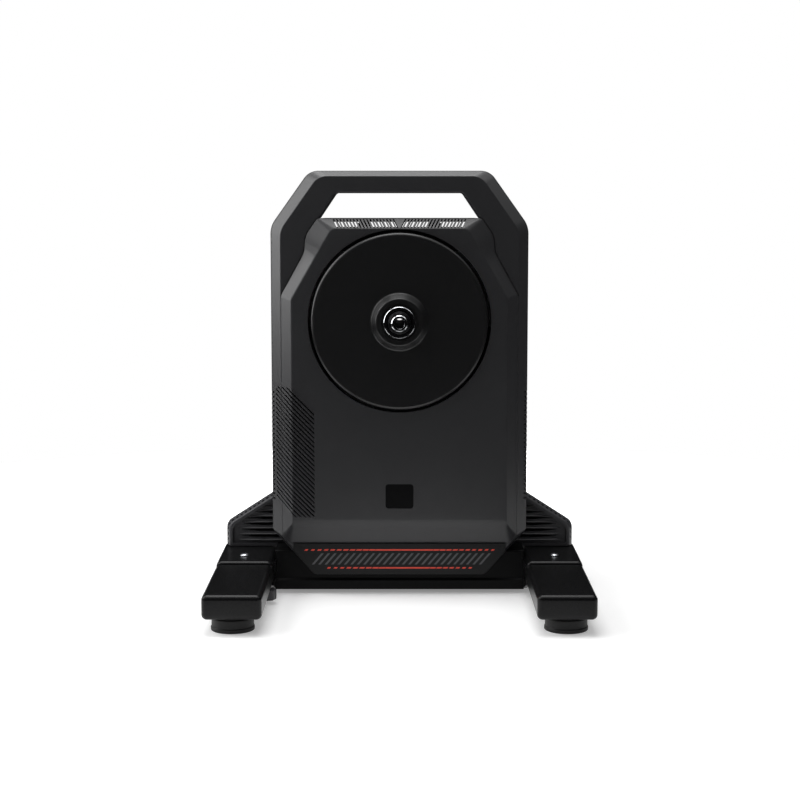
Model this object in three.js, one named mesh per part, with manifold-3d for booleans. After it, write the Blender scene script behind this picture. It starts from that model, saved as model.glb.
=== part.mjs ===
// Direct drive bicycle trainer that stands in for the rear wheel.
// X runs along the bicycle, Y points to its drive side and Z is up, all in millimetres.
// The origin is on the floor below the middle of the wheel axle.
import * as THREE from "three";
import { mergeVertices } from "three/addons/utils/BufferGeometryUtils.js";
import Module from "manifold-3d";

const wasm = await Module();
wasm.setup();

// Fits shared by all pieces
const gap = 0.3;
const overrun = 1;

// Wheel axle, a road wheel's radius above the floor: the sum of what lies between them
const bodyBottom = 23;
const frameFloorHeight = 45;
const flywheelClearance = 13;
const flywheelRadius = 84;
const driveCentreDistance = 173.7;
const cavityBottom = bodyBottom + frameFloorHeight;
const flywheelHeight = cavityBottom + flywheelClearance + flywheelRadius;
const axleHeight = flywheelHeight + driveCentreDistance;

// Depths, from the bearing plate outwards to both covers
const plateFront = -2.8;
const plateThickness = 4;
const plateBack = plateFront + plateThickness;
const beltClearance = 0.8;
const beltStart = plateBack + beltClearance;
const beltWidth = 16;
const armThickness = 3.4;
const armBoltHead = 1;
const armClearance = 1.5;
const coverWall = 2.5;
const rearFace = beltStart + beltWidth + 2 * gap + armThickness + armBoltHead + armClearance + coverWall;
const flywheelGap = 1.2;
const flywheelWidth = 20;
const flywheelFront = plateFront - flywheelGap - flywheelWidth;
const flyShaftProud = 1;
const discRunningGap = 2;
const discSkirtEnd = flywheelFront - flyShaftProud - discRunningGap;
const discDepth = 15;
const discFace = discSkirtEnd - discDepth;
const discProud = 7;
const frontFace = discFace + discProud;

// Body outline round the disc, seen from the side
const discRadius = 106.5;
const discClearance = 2.5;
const discOpeningRadius = discRadius + discClearance;
const sideMargin = 47.5;
const topMargin = 71.3;
const bodyHalfWidth = discOpeningRadius + sideMargin;
const bodyTop = axleHeight + discOpeningRadius + topMargin;
const bottomCornerInset = 50.5;
const bottomHalfWidth = bodyHalfWidth - bottomCornerInset;
const lowerCornerRise = 56.5;
const lowerCornerHeight = bodyBottom + lowerCornerRise;
const upperCornerDrop = 66.5;
const upperCornerHeight = bodyTop - upperCornerDrop;
const topCornerInset = 47.5;
const topHalfWidth = bodyHalfWidth - topCornerInset;
const topCornerRadius = 21;
const upperCornerRadius = 30;
const lowerCornerRadius = 10;
const bottomCornerRadius = 12;

// Carry frame
const rearCoverDepth = 4.5;
const frameHalfDepth = rearFace - rearCoverDepth;
const chamferDepth = 12.5;
const sideWallHalfDepth = frameHalfDepth - chamferDepth;
const sideChamfer = 12.7;
const slantChamfer = 13;
const topChamfer = 6.5;
const diagonalChamfer = 5;
const bottomChamfer = 3;
const handleBarHeight = 27;
const handleSideWidth = 33;
const gripHeight = 55;
const gripSpread = 37;
const gripTop = bodyTop - handleBarHeight;
const gripHalfWidth = topHalfWidth - handleSideWidth;
const gripFootHeight = gripTop - gripHeight;
const gripFootHalfWidth = gripHalfWidth + gripSpread;
const shoulderInset = 14;
const shoulderDrop = 15;
const shoulderHalfWidth = gripFootHalfWidth - shoulderInset;
const shoulderHeight = gripFootHeight - shoulderDrop;
const sideWallWidth = 23.5;
const cavityHalfWidth = bodyHalfWidth - sideWallWidth;
const cavitySlantHeight = 58;
const cavityTopHeight = shoulderHeight - cavitySlantHeight;
const cavityCornerInset = 41;
const cavityBottomHalfWidth = cavityHalfWidth - cavityCornerInset;
const cavityCornerHeight = cavityBottom + cavityCornerInset;
const cavityRadius = 5;
const lugInset = 7;
const lugX = cavityHalfWidth - lugInset;
const lugCount = 3;
const lugLowRise = 19;
const lugHighDrop = 20;
const lugRadius = 9;
const lugDepth = 9;

// Covers
const coverSlope = 13;
const footHalfWidth = bodyHalfWidth - sideChamfer - gap;
const faceHalfWidth = footHalfWidth - coverSlope;
const faceBottomRise = 73;
const faceBottom = bodyBottom + faceBottomRise;
const faceTopMargin = 2.3;
const faceTop = axleHeight + discOpeningRadius + faceTopMargin;
const faceSlantHeight = 85;
const faceCornerHeight = faceTop - faceSlantHeight;
const faceSlantWidth = 49;
const faceTopHalfWidth = faceHalfWidth - faceSlantWidth;
const faceCornerRadius = 12;
const cornerNick = 1;
const footDrop = 31;
const footBottom = faceBottom - footDrop;
const footCornerInset = 8.2;
const footBottomHalfWidth = footHalfWidth - footCornerInset;
const footDiagonalHeight = footBottom + footCornerInset;
const footCornerRise = 4.5;
const footCornerHeight = faceCornerHeight + footCornerRise;
const footTopSpread = 7.7;
const footTopHalfWidth = faceTopHalfWidth + footTopSpread;
const roofRise = 12;
const roofHeight = faceTop + roofRise;
const roofDepth = 32;
const roofFloor = roofHeight - roofDepth;
const roofDeepening = 7.5;
const postX = 43;
const postDrop = 10;
const postHeight = roofHeight - postDrop;
const postRadius = 8;
const collarWall = 2.5;
const collarDepth = 8;
const freehubOpeningRadius = 25;

// Vents
const ventPitch = 4.03;
const ventSlot = 2;
const ventEdge = 5.7;
const ventOuterX = bodyHalfWidth - ventEdge;
const ventFaceOverlap = 0.8;
const ventFaceX = faceHalfWidth + ventFaceOverlap;
const ventFaceWidth = 27.9;
const ventInnerX = ventFaceX - ventFaceWidth;
const ventRise = 3;
const ventBottom = faceBottom + ventRise;
const ventHeight = 159;
const ventTop = ventBottom + ventHeight;
const ventStep = 29;
const ventStepDown = ventTop - ventStep;
const ventCornerHeight = 24;
const ventOuterBottom = ventBottom + ventCornerHeight;
const ventBottomX = ventOuterX - ventCornerHeight;
const ventGrooveDepth = 8;
const sideGrilleRise = 17;
const sideGrilleBottom = ventBottom + sideGrilleRise;
const sideGrilleHalfDepth = 8;
const sideGrilleThickness = 3.6;
const sideGrillePitch = 5.7;
const sideGrilleSlot = 2.6;
const sideGrilleBorder = 2.2;
const roofSlotPitch = 4;
const roofSlotWidth = 1.9;
const roofSlotRise = 2.5;
const roofSlotDrop = 3;
const roofSlotBottom = faceTop + roofSlotRise;
const roofSlotTop = roofHeight - roofSlotDrop;
const roofSlotLean = 3.4;
const roofSlotInset = 2.5;
const roofSlotReach = faceTopHalfWidth - roofSlotInset;

// Lower apron plate
const apronThickness = 1.8;
const apronRise = 3;
const apronInset = 1.5;
const apronBottom = bodyBottom + apronRise;
const apronBottomHalfWidth = bottomHalfWidth - apronInset;
const apronSlope = lowerCornerRise / bottomCornerInset;
const apronCornerHeight = apronBottom + (faceHalfWidth - apronBottomHalfWidth) * apronSlope;

// Pulley cover disc
const discWall = 3;
const discRim = 4;
const bossRootRadius = 33.5;
const bossTopRadius = 26.4;
const bossHeight = 8.2;

// Hub and freehub
const shaftRadius = 15;
const shaftRecess = 0.2;
const shaftLeft = discFace - bossHeight + shaftRecess;
const shaftBoreRadius = 9;
const axleBearingRadius = 12;
const axleBearingWidth = 7;
const hubBearingRadius = 27.5;
const hubBearingWidth = 8;
const capRadius = 18.2;
const capWidth = 6;
const capRecessRadius = 15;
const capFloor = 1;
const capEdge = 1;
const freehubRadius = 17.3;
const freehubClearance = 1.5;
const freehubStart = rearFace + freehubClearance;
const freehubLength = 36;
const freehubEnd = freehubStart + freehubLength;
const freehubFlangeRadius = 19.5;
const freehubFlangeWidth = 2.5;
const splineCount = 9;
const splineDepth = 1.4;
const splineWidth = 6;
const ratchetBoreRadius = 14.8;
const ratchetTeeth = 18;
const ratchetToothDepth = 1.1;
const ratchetWidth = 8;
const ratchetSpigotLength = 5;
const ratchetReach = 1;
const shaftRight = freehubStart - ratchetReach;
const ratchetEnd = shaftRight + gap + ratchetWidth;
const rightBearingStart = shaftRight - ratchetSpigotLength - gap - axleBearingWidth;

// Wheel axle
const adapterRightLength = 6.5;
const axleEnd = freehubEnd + adapterRightLength;
const axleBoreRadius = 6.15;
const axleTubeRadius = 7.5;
const axleTubeInset = 9;
const axleTubeEnd = axleEnd - axleTubeInset;
const adapterFaceRadius = 9.7;
const adapterRootRadius = 14;
const adapterLength = 12.7;
const adapterNeckRadius = 11.2;

// Belt drive
const beltThickness = 2.6;
const drivePulleyInset = 9.5;
const drivePulleyRadius = discRadius - drivePulleyInset;
const driveRatio = 5.5;
const pulleyRimWall = 7;
const pulleyWebThickness = 4;
const pulleyHubRadius = 26;
const pulleyWindowCount = 6;
const pulleyWindowRadius = 10.5;
const pulleyWindowCircle = 58;
const idlerRadius = 14;
const idlerPlaceShare = 0.5;
const idlerBoltRadius = 4;
const armEndRadius = 9;
const armReachX = 30;
const armDrop = 22;
const armPivotRadius = 7;

// Bearing plate
const plateWindowHalfWidth = 22;
const plateWindowX = 92;
const plateWindowDrop = 8.7;
const plateWindowHeight = 68;
const plateWindowTop = axleHeight - plateWindowDrop;
const plateWindowBottom = plateWindowTop - plateWindowHeight;
const hubBossRadius = 34;
const hubBossClearance = 2;
const hubBossStart = discSkirtEnd + hubBossClearance;
const hubLipRadius = 24;
const studRadius = 3;
const studProud = 2;

// Flywheel and eddy current brake
const rimWallShare = 0.3;
const flywheelRimWall = flywheelRadius * rimWallShare;
const flywheelWeb = 5.5;
const flywheelHubRadius = 14;
const flywheelHubProud = 1;
const flyBossRadius = 21;
const flyBossClearance = 1.3;
const flyBossStart = flywheelFront + flywheelWeb + flywheelHubProud + flyBossClearance;
const flywheelEdge = 1;
const flyShaftRadius = 7.5;
const flyBearingRadius = 16;
const flyBearingWidth = 8;
const corePoleClearance = 3.8;
const corePoleReach = flywheelRadius - flywheelRimWall - corePoleClearance;
const coreRingShare = 0.545;
const coreRingRadius = corePoleReach * coreRingShare;
const corePoleWidth = 12;
const corePoleCount = 6;
const coreWebGap = 2;
const corePlateGap = 2.7;
const coreFront = flywheelFront + flywheelWeb + coreWebGap;
const coreBack = plateFront - corePlateGap;
const coreDepth = coreBack - coreFront;
const coilWidth = 5;
const coilRingGap = 3;
const coilPoleInset = 6;
const coilStart = coreRingRadius + coilRingGap;
const coilLength = corePoleReach - coilPoleInset - coilStart;
const coilProud = 0.9;
const sensorSize = 12;
const sensorOffset = 4;

// Base blocks and folding legs
const legInset = 2.5;
const legInner = bodyHalfWidth - legInset;
const legWidth = 68;
const legOuter = legInner + legWidth;
const legHeight = 28.5;
const blockBottom = 21;
const blockTop = blockBottom + legHeight;
const legDrop = 2.8;
const legBottom = blockBottom - legDrop;
const legTop = legBottom + legHeight;
const legEdgeRadius = 6;
const legEndRadius = 6;
const seamEdge = 1.6;
const railWidth = 4;
const railBottom = 6;
const railTop = blockBottom + railWidth;
const railTaper = 11;
const blockHalfLength = 60.5;
const seamGap = 3;
const legLength = 166.5;
const legEnd = blockHalfLength + seamGap + legLength;
const pinInset = 7;
const pinBehindSeam = 5.5;
const pinRadius = 4;
const pinCover = 4.5;
const pinTop = legTop - pinCover;
const hingeCornerRadius = 7;
const tongueCover = 9.5;
const tongueBottom = blockBottom + tongueCover;
const tongueTop = blockTop - tongueCover;
const tongueRadius = 6.6;
const knobRadius = 12.5;
const knobHeight = 13;
const knobBottom = legBottom - knobHeight;
const knobLobes = 8;
const knobLobeDepth = 1;
const knobPinDepth = 9;
const knobPinEnd = legBottom - knobPinDepth;

// Cross beam
const beamFront = -12;
const beamDepth = 58;
const beamBack = beamFront + beamDepth;
const beamBottom = 5;
const beamRise = 4.5;
const beamTop = blockTop + beamRise;
const beamWall = 5;
const lipProud = 3;
const lipHeight = 14;
const lipTop = beamBottom + lipHeight;
const spigotReach = 24;
const spigotFront = beamFront - spigotReach;
const spigotInset = 2;
const spigotBack = beamBack - spigotInset;
const spigotCover = 7;
const spigotBottom = blockBottom + spigotCover;
const spigotTop = blockTop - spigotCover;
const spigotShortfall = 14;
const spigotEnd = legOuter - spigotShortfall;
const baseBoltInset = 36.5;
const baseBoltX = legInner + baseBoltInset;
const baseBoltY = (spigotFront + beamFront) / 2;
const baseBoltHeadRadius = 5.6;
const baseBoltHead = 3.4;
const baseBoltEdge = 0.8;
const baseBoltRadius = 3.2;
const baseBoltSocketRadius = 3;
const baseBoltSocketDepth = 2;

// Rubber feet
const footInset = 35.5;
const footX = legInner + footInset;
const footBehindEnd = 35;
const footY = legEnd - footBehindEnd;
const footPadRadius = 25;
const footNeckRadius = 24;
const footEdge = 1.5;
const footPadHeight = 4.5;
const footStudRadius = 5;
const footStudLength = 11;

// Rear housing
const housingSetback = 5;
const housingFront = rearFace + housingSetback;
const housingDepth = 64;
const housingBack = housingFront + housingDepth;
const housingInset = 3.5;
const housingHalfWidth = legOuter - housingInset;
const housingClearance = 0.8;
const housingBottom = blockTop + housingClearance;
const housingEndRise = 29.7;
const housingEndHeight = housingBottom + housingEndRise;
const housingSlopeHeight = 70;
const housingTop = housingEndHeight + housingSlopeHeight;
const housingSlopeWidth = 108.5;
const housingTopHalfWidth = housingHalfWidth - housingSlopeWidth;
const housingWall = 4;
const housingFloor = 3;
const housingEndRadius = 14;
const housingEdge = 4;
const housingDraft = 5;
const ribPitch = 8.2;
const ribGroove = 4.4;
const ribDepth = 2.2;
const ribBorder = 7;
const ribCount = 6;
const ribRise = 5.7;
const ribFirstHeight = housingBottom + ribRise;
const boardHalfWidth = 62;
const boardRise = 23.7;
const boardHeight = 54;
const boardBottom = housingBottom + boardRise;
const boardTop = boardBottom + boardHeight;
const boardThickness = 1.6;
const boardStandoff = 4;
const standoffRadius = 3.5;
const standoffInset = 6;
const chipHalfWidth = 14;
const chipHeight = 24;
const chipThickness = 6;
const fittingX = 70;
const fittingRise = 25.7;
const fittingHeight = housingBottom + fittingRise;
const inletRadius = 6;
const inletFlangeRadius = 8;
const inletFlange = 1.6;
const inletBoreRadius = 3.2;
const inletPinRadius = 1;
const inletDepth = 12;
const lampRadius = 4;
const lampProud = 0.6;

// Cover screws, on the drive side
const screwHeadRadius = 3.6;
const screwHead = 2.4;
const screwRadius = 1.8;
const screwLength = 9;
const screwInset = 4.2;
const screwLowRise = 13;
const screwHighDrop = 18;

// Facets
const fineSegments = 48;
const wheelSegments = 32;
const footSegments = 20;
const roundSegments = 16;
const smallSegments = 10;
const socketSides = 6;
const cornerSteps = 3;
const halfTurn = Math.PI;
const quarterTurn = Math.PI / 2;
const diagonalShare = Math.SQRT2;

// Solids and meshes

function solid(geometry) {
  geometry.deleteAttribute("normal");
  geometry.deleteAttribute("uv");
  const merged = mergeVertices(geometry);
  return new wasm.Manifold(new wasm.Mesh({
    numProp: 3,
    vertProperties: Float32Array.from(merged.attributes.position.array),
    triVerts: Uint32Array.from(merged.index.array),
  }));
}

function cut(body, ...tools) {
  return tools.reduce((left, tool) => left.subtract(tool), body);
}

function join(...bodies) {
  return bodies.reduce((left, right) => left.add(right));
}

function box(x0, x1, y0, y1, z0, z1) {
  const shape = new THREE.BoxGeometry(x1 - x0, y1 - y0, z1 - z0);
  shape.translate((x0 + x1) / 2, (y0 + y1) / 2, (z0 + z1) / 2);
  return solid(shape);
}

// A ring of [x, z] corners with radii becomes a ring of plain points with arcs at the corners.
function roundCorners(corners, steps = cornerSteps) {
  const points = [];
  const count = corners.length;
  corners.forEach(([x, z, radius], index) => {
    const [px, pz] = corners[(index + count - 1) % count];
    const [nx, nz] = corners[(index + 1) % count];
    const here = new THREE.Vector2(x, z);
    const back = new THREE.Vector2(px, pz).sub(here).normalize();
    const onward = new THREE.Vector2(nx, nz).sub(here).normalize();
    const half = Math.acos(back.dot(onward)) / 2;
    const reach = radius / Math.tan(half);
    const inwards = back.clone().add(onward).normalize();
    const middle = here.clone().addScaledVector(inwards, radius / Math.sin(half));
    const start = here.clone().addScaledVector(back, reach).sub(middle);
    const turn = halfTurn - 2 * half;
    const side = Math.sign(back.cross(onward)) || 1;
    for (let step = 0; step <= steps; step += 1) {
      const arm = start.clone().rotateAround(new THREE.Vector2(), -side * turn * step / steps);
      points.push([middle.x + arm.x, middle.y + arm.y]);
    }
  });
  return points;
}

// Each edge of a ring of corners moves inwards by its own distance.
function insetCorners(corners, insets) {
  const count = corners.length;
  const lines = corners.map(([x, z], index) => {
    const [nx, nz] = corners[(index + 1) % count];
    const along = new THREE.Vector2(nx - x, nz - z).normalize();
    const inwards = new THREE.Vector2(-along.y, along.x);
    const inset = Array.isArray(insets) ? insets[index] : insets;
    return { along, point: new THREE.Vector2(x, z).addScaledVector(inwards, inset) };
  });
  return corners.map(([, , radius], index) => {
    const before = lines[(index + count - 1) % count];
    const after = lines[index];
    const between = after.point.clone().sub(before.point);
    const travel = between.cross(after.along) / before.along.cross(after.along);
    const corner = before.point.clone().addScaledVector(before.along, travel);
    return [corner.x, corner.y, radius];
  });
}

// The right half of a symmetric outline, bottom to top, is completed with its mirror image.
function mirrored(rightHalf) {
  const leftHalf = rightHalf.map(([x, z, radius]) => [-x, z, radius]).reverse();
  return [...rightHalf, ...leftHalf];
}

// A closed body through rings of points that lie one behind the other along Y.
function loftY(sections) {
  const count = sections[0].ring.length;
  const positions = sections.flatMap(({ y, ring }) => ring.flatMap(([x, z]) => [x, y, z]));
  const faces = [];
  for (let level = 0; level + 1 < sections.length; level += 1) {
    for (let index = 0; index < count; index += 1) {
      const a = level * count + index;
      const b = level * count + (index + 1) % count;
      faces.push(a, b + count, b, a, a + count, b + count);
    }
  }
  const capOf = ({ ring }) => {
    const outline = ring.map(([x, z]) => new THREE.Vector2(x, z));
    return THREE.ShapeUtils.triangulateShape(outline, []);
  };
  const last = (sections.length - 1) * count;
  capOf(sections[0]).forEach(([a, b, c]) => faces.push(a, b, c));
  capOf(sections[sections.length - 1]).forEach(([a, b, c]) => faces.push(last + a, last + c, last + b));
  const geometry = new THREE.BufferGeometry();
  geometry.setAttribute("position", new THREE.Float32BufferAttribute(positions, 3));
  geometry.setIndex(faces);
  return solid(geometry);
}

function prismY(ring, y0, y1) {
  return loftY([{ y: y0, ring }, { y: y1, ring }]);
}

// A profile of [radius, place] points turns round the Y axis through x and z.
function turnedY(profile, x, z, segments = roundSegments) {
  const points = profile.map(([radius, place]) => new THREE.Vector2(radius, place));
  const geometry = new THREE.LatheGeometry(points, segments);
  geometry.translate(x, 0, z);
  return solid(flipIfInside(geometry));
}

// A profile of [radius, height] points turns round the vertical through x and y.
function turnedZ(profile, x, y, segments = roundSegments) {
  const points = profile.map(([radius, height]) => new THREE.Vector2(radius, height));
  const geometry = new THREE.LatheGeometry(points, segments);
  geometry.rotateX(quarterTurn);
  geometry.translate(x, y, 0);
  return solid(flipIfInside(geometry));
}

// A turned ring whose profile runs the other way round has its faces turned outwards.
function flipIfInside(geometry) {
  const place = geometry.attributes.position;
  const order = geometry.index.array;
  const corners = [new THREE.Vector3(), new THREE.Vector3(), new THREE.Vector3()];
  let volume = 0;
  for (let index = 0; index < order.length; index += 3) {
    corners.forEach((corner, side) => corner.fromBufferAttribute(place, order[index + side]));
    volume += corners[0].dot(corners[1].clone().cross(corners[2]));
  }
  if (volume < 0) {
    for (let index = 0; index < order.length; index += 3) {
      [order[index], order[index + 1]] = [order[index + 1], order[index]];
    }
  }
  return geometry;
}

function discY(radius, y0, y1, x, z, segments = roundSegments) {
  return turnedY([[0, y0], [radius, y0], [radius, y1], [0, y1]], x, z, segments);
}

function ringY(outer, inner, y0, y1, x, z, segments = roundSegments) {
  return turnedY([[inner, y0], [outer, y0], [outer, y1], [inner, y1], [inner, y0]], x, z, segments);
}

function discZ(radius, z0, z1, x, y, segments = smallSegments) {
  return turnedZ([[0, z0], [radius, z0], [radius, z1], [0, z1]], x, y, segments);
}

const group = new THREE.Group();

function addPiece(name, shape, { color, roughness, metalness }) {
  const { vertProperties, triVerts } = shape.getMesh();
  const geometry = new THREE.BufferGeometry();
  geometry.setAttribute("position", new THREE.BufferAttribute(Float32Array.from(vertProperties), 3));
  geometry.setIndex(new THREE.BufferAttribute(Uint32Array.from(triVerts), 1));
  geometry.computeVertexNormals();
  const mesh = new THREE.Mesh(geometry, new THREE.MeshStandardMaterial({ color, roughness, metalness }));
  mesh.name = name;
  group.add(mesh);
}

const charcoalPlastic = { color: "#2b2b2d", roughness: 0.55, metalness: 0 };
const discPlastic = { color: "#1b1b1d", roughness: 0.4, metalness: 0 };
const blackMetal = { color: "#161617", roughness: 0.4, metalness: 0.2 };
const blackPlastic = { color: "#1a1a1b", roughness: 0.6, metalness: 0 };
const blackRubber = { color: "#141414", roughness: 0.85, metalness: 0 };
const steel = { color: "#9a9c9e", roughness: 0.3, metalness: 1 };
const darkSteel = { color: "#3a3b3d", roughness: 0.35, metalness: 1 };
const castIron = { color: "#4a4b4d", roughness: 0.5, metalness: 0.9 };
const aluminium = { color: "#b9bbbd", roughness: 0.35, metalness: 1 };
const copper = { color: "#a8623a", roughness: 0.4, metalness: 1 };
const circuitGreen = { color: "#1f4a33", roughness: 0.5, metalness: 0 };
const lampPlastic = { color: "#d8e4e8", roughness: 0.25, metalness: 0 };

// Outlines that the frame and covers share

const bodyCorners = mirrored([
  [bottomHalfWidth, bodyBottom, bottomCornerRadius],
  [bodyHalfWidth, lowerCornerHeight, lowerCornerRadius],
  [bodyHalfWidth, upperCornerHeight, upperCornerRadius],
  [topHalfWidth, bodyTop, topCornerRadius],
]);
const chamfers = [
  diagonalChamfer, sideChamfer, slantChamfer, topChamfer,
  slantChamfer, sideChamfer, diagonalChamfer, bottomChamfer,
];
const cavityCorners = mirrored([
  [cavityBottomHalfWidth, cavityBottom, cavityRadius],
  [cavityHalfWidth, cavityCornerHeight, cavityRadius],
  [cavityHalfWidth, cavityTopHeight, cavityRadius],
  [shoulderHalfWidth, shoulderHeight, cavityRadius],
  [gripFootHalfWidth, gripFootHeight, cavityRadius],
  [gripHalfWidth, gripTop, cavityRadius],
]);
const faceCorners = mirrored([
  [faceHalfWidth - cornerNick, faceBottom, 0],
  [faceHalfWidth, faceBottom + cornerNick, 0],
  [faceHalfWidth, faceCornerHeight, faceCornerRadius],
  [faceTopHalfWidth, faceTop, faceCornerRadius],
]);
const footCorners = mirrored([
  [footBottomHalfWidth, footBottom, 0],
  [footHalfWidth, footDiagonalHeight, 0],
  [footHalfWidth, footCornerHeight, faceCornerRadius],
  [footTopHalfWidth, roofHeight, faceCornerRadius],
]);
const slantEdges = [2, 4];
const topEdge = 3;

function edgeInsets(all, slant, top) {
  const insets = footCorners.map(() => all);
  slantEdges.forEach((edge) => {
    insets[edge] = slant;
  });
  insets[topEdge] = top;
  return insets;
}

function ringOf(corners, insets = 0) {
  return roundCorners(insetCorners(corners, insets));
}

// Vent slots, as prisms along Y that the front cover and the frame are cut with

function frontVentSlots(y0, y1) {
  const ventRing = [
    [-ventOuterX, ventOuterBottom], [-ventBottomX, ventBottom], [-ventInnerX, ventBottom],
    [-ventInnerX, ventStepDown], [-ventFaceX, ventTop], [-ventOuterX, ventTop],
  ];
  const area = prismY(ventRing, y0, y1);
  const width = ventOuterX - ventInnerX;
  const rise = ventPitch * diagonalShare;
  const slotRise = ventSlot * diagonalShare;
  const count = Math.ceil((ventTop + width - ventBottom) / rise);
  const strips = [];
  for (let index = 0; index < count; index += 1) {
    const top = ventTop + width - index * rise;
    strips.push(prismY([
      [-ventOuterX - overrun, top + overrun - slotRise],
      [-ventInnerX + overrun, top - width - overrun - slotRise],
      [-ventInnerX + overrun, top - width - overrun],
      [-ventOuterX - overrun, top + overrun],
    ], y0 - overrun, y1 + overrun));
  }
  return join(...strips).intersect(area);
}

function roofSlots(y0, y1) {
  const count = Math.floor(roofSlotReach / roofSlotPitch);
  const strips = [];
  for (let index = 0; index < count; index += 1) {
    const foot = (index + 1 / 2) * roofSlotPitch;
    const ring = [
      [foot, roofSlotBottom], [foot + roofSlotWidth, roofSlotBottom],
      [foot + roofSlotWidth + roofSlotLean, roofSlotTop], [foot + roofSlotLean, roofSlotTop],
    ];
    strips.push(prismY(ring, y0, y1));
    strips.push(prismY(ring.map(([x, z]) => [-x, z]).reverse(), y0, y1));
  }
  return join(...strips);
}

// Carry frame, one octagonal ring with the handle in its top and the hub cavity below

function carryFrame() {
  const outer = ringOf(bodyCorners);
  const plane = ringOf(bodyCorners, chamfers);
  const ring = loftY([
    { y: -frameHalfDepth, ring: plane },
    { y: -sideWallHalfDepth, ring: outer },
    { y: sideWallHalfDepth, ring: outer },
    { y: frameHalfDepth, ring: plane },
  ]);
  const cavity = prismY(ringOf(cavityCorners), -frameHalfDepth - overrun, frameHalfDepth + overrun);
  const beamSeat = box(
    -legInner, legInner, beamFront - gap, frameHalfDepth + overrun, bodyBottom - overrun, beamTop + gap,
  );
  const grilleSeats = [-1, 1].map((side) => box(
    Math.min(side * cavityHalfWidth - side * overrun, side * bodyHalfWidth + side * overrun),
    Math.max(side * cavityHalfWidth - side * overrun, side * bodyHalfWidth + side * overrun),
    -sideGrilleHalfDepth - gap, sideGrilleHalfDepth + gap, sideGrilleBottom - gap, ventTop + gap,
  ));
  const lugFace = plateFront - gap;
  const lugs = lugPlaces().map(([x, z]) => turnedY([
    [0, lugFace - lugDepth], [lugRadius, lugFace - lugDepth], [lugRadius, lugFace], [studRadius, lugFace],
    [studRadius, plateBack + studProud], [0, plateBack + studProud],
  ], x, z, smallSegments));
  const vents = frontVentSlots(-frameHalfDepth - overrun, -frameHalfDepth + ventGrooveDepth);
  const screwHoles = screwPlaces().map(([x, z]) => discY(
    screwRadius + gap, rearFace - screwLength, frameHalfDepth + overrun, x, z,
    smallSegments,
  ));
  return cut(join(cut(ring, cavity), ...lugs), beamSeat, ...grilleSeats, ...screwHoles, vents);
}

// Lugs in the frame's cavity, whose studs locate the bearing plate

function lugPlaces() {
  const low = cavityCornerHeight + lugLowRise;
  const high = cavityTopHeight - lugHighDrop;
  const heights = Array.from({ length: lugCount }, (_, index) => low + (high - low) * index / (lugCount - 1));
  return heights.flatMap((z) => [[-lugX, z], [lugX, z]]);
}

// Roof block that fills the bottom of the grip hole, one half on each cover

function roofBlock(sections, clearance, floor) {
  const y0 = Math.min(...sections.map(({ y }) => y));
  const y1 = Math.max(...sections.map(({ y }) => y));
  const throat = prismY(ringOf(cavityCorners, clearance), y0 - overrun, y1 + overrun);
  const above = box(-bodyHalfWidth, bodyHalfWidth, y0 - overrun, y1 + overrun, floor, bodyTop);
  return loftY(sections).intersect(throat).intersect(above);
}

function posts(y0, y1) {
  return [-postX, postX].map((x) => discY(postRadius, y0, y1, x, postHeight, smallSegments));
}

function frontCover() {
  const face = frontFace;
  const foot = -frameHalfDepth - gap;
  const deep = foot + roofDeepening;
  const wallFoot = coverWall * diagonalShare;
  const wallFace = wallFoot - coverWall;
  const faceRing = ringOf(faceCorners);
  const footRing = ringOf(footCorners);
  const deepRing = ringOf(footCorners, edgeInsets(0, -roofDeepening, 0));
  const shell = join(
    loftY([{ y: face, ring: faceRing }, { y: foot, ring: footRing }]),
    roofBlock([
      { y: face, ring: faceRing },
      { y: foot, ring: footRing },
      { y: deep, ring: deepRing },
      { y: -gap / 2, ring: deepRing },
    ], gap, roofFloor),
  );
  const innerFace = ringOf(faceCorners, wallFace);
  const innerFoot = ringOf(footCorners, wallFoot);
  const innerDeep = ringOf(footCorners, edgeInsets(wallFoot, coverWall - roofDeepening, coverWall));
  const hollow = join(
    loftY([{ y: face + coverWall, ring: innerFace }, { y: foot + overrun, ring: innerFoot }]),
    roofBlock([
      { y: face + coverWall, ring: innerFace },
      { y: foot, ring: innerFoot },
      { y: deep, ring: innerDeep },
      { y: overrun, ring: innerDeep },
    ], gap + coverWall, roofFloor - overrun),
  );
  const collarBack = face + coverWall + collarDepth;
  const collar = ringY(
    discOpeningRadius + collarWall, discOpeningRadius, face, collarBack, 0, axleHeight, fineSegments,
  );
  const opening = discY(discOpeningRadius, face - overrun, collarBack + overrun, 0, axleHeight, fineSegments);
  const inside = join(collar, ...posts(face, -gap / 2)).intersect(shell);
  return cut(
    join(cut(shell, hollow), inside), opening,
    frontVentSlots(face - overrun, foot + overrun), roofSlots(face, foot + roofDeepening - coverWall),
  );
}

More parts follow.
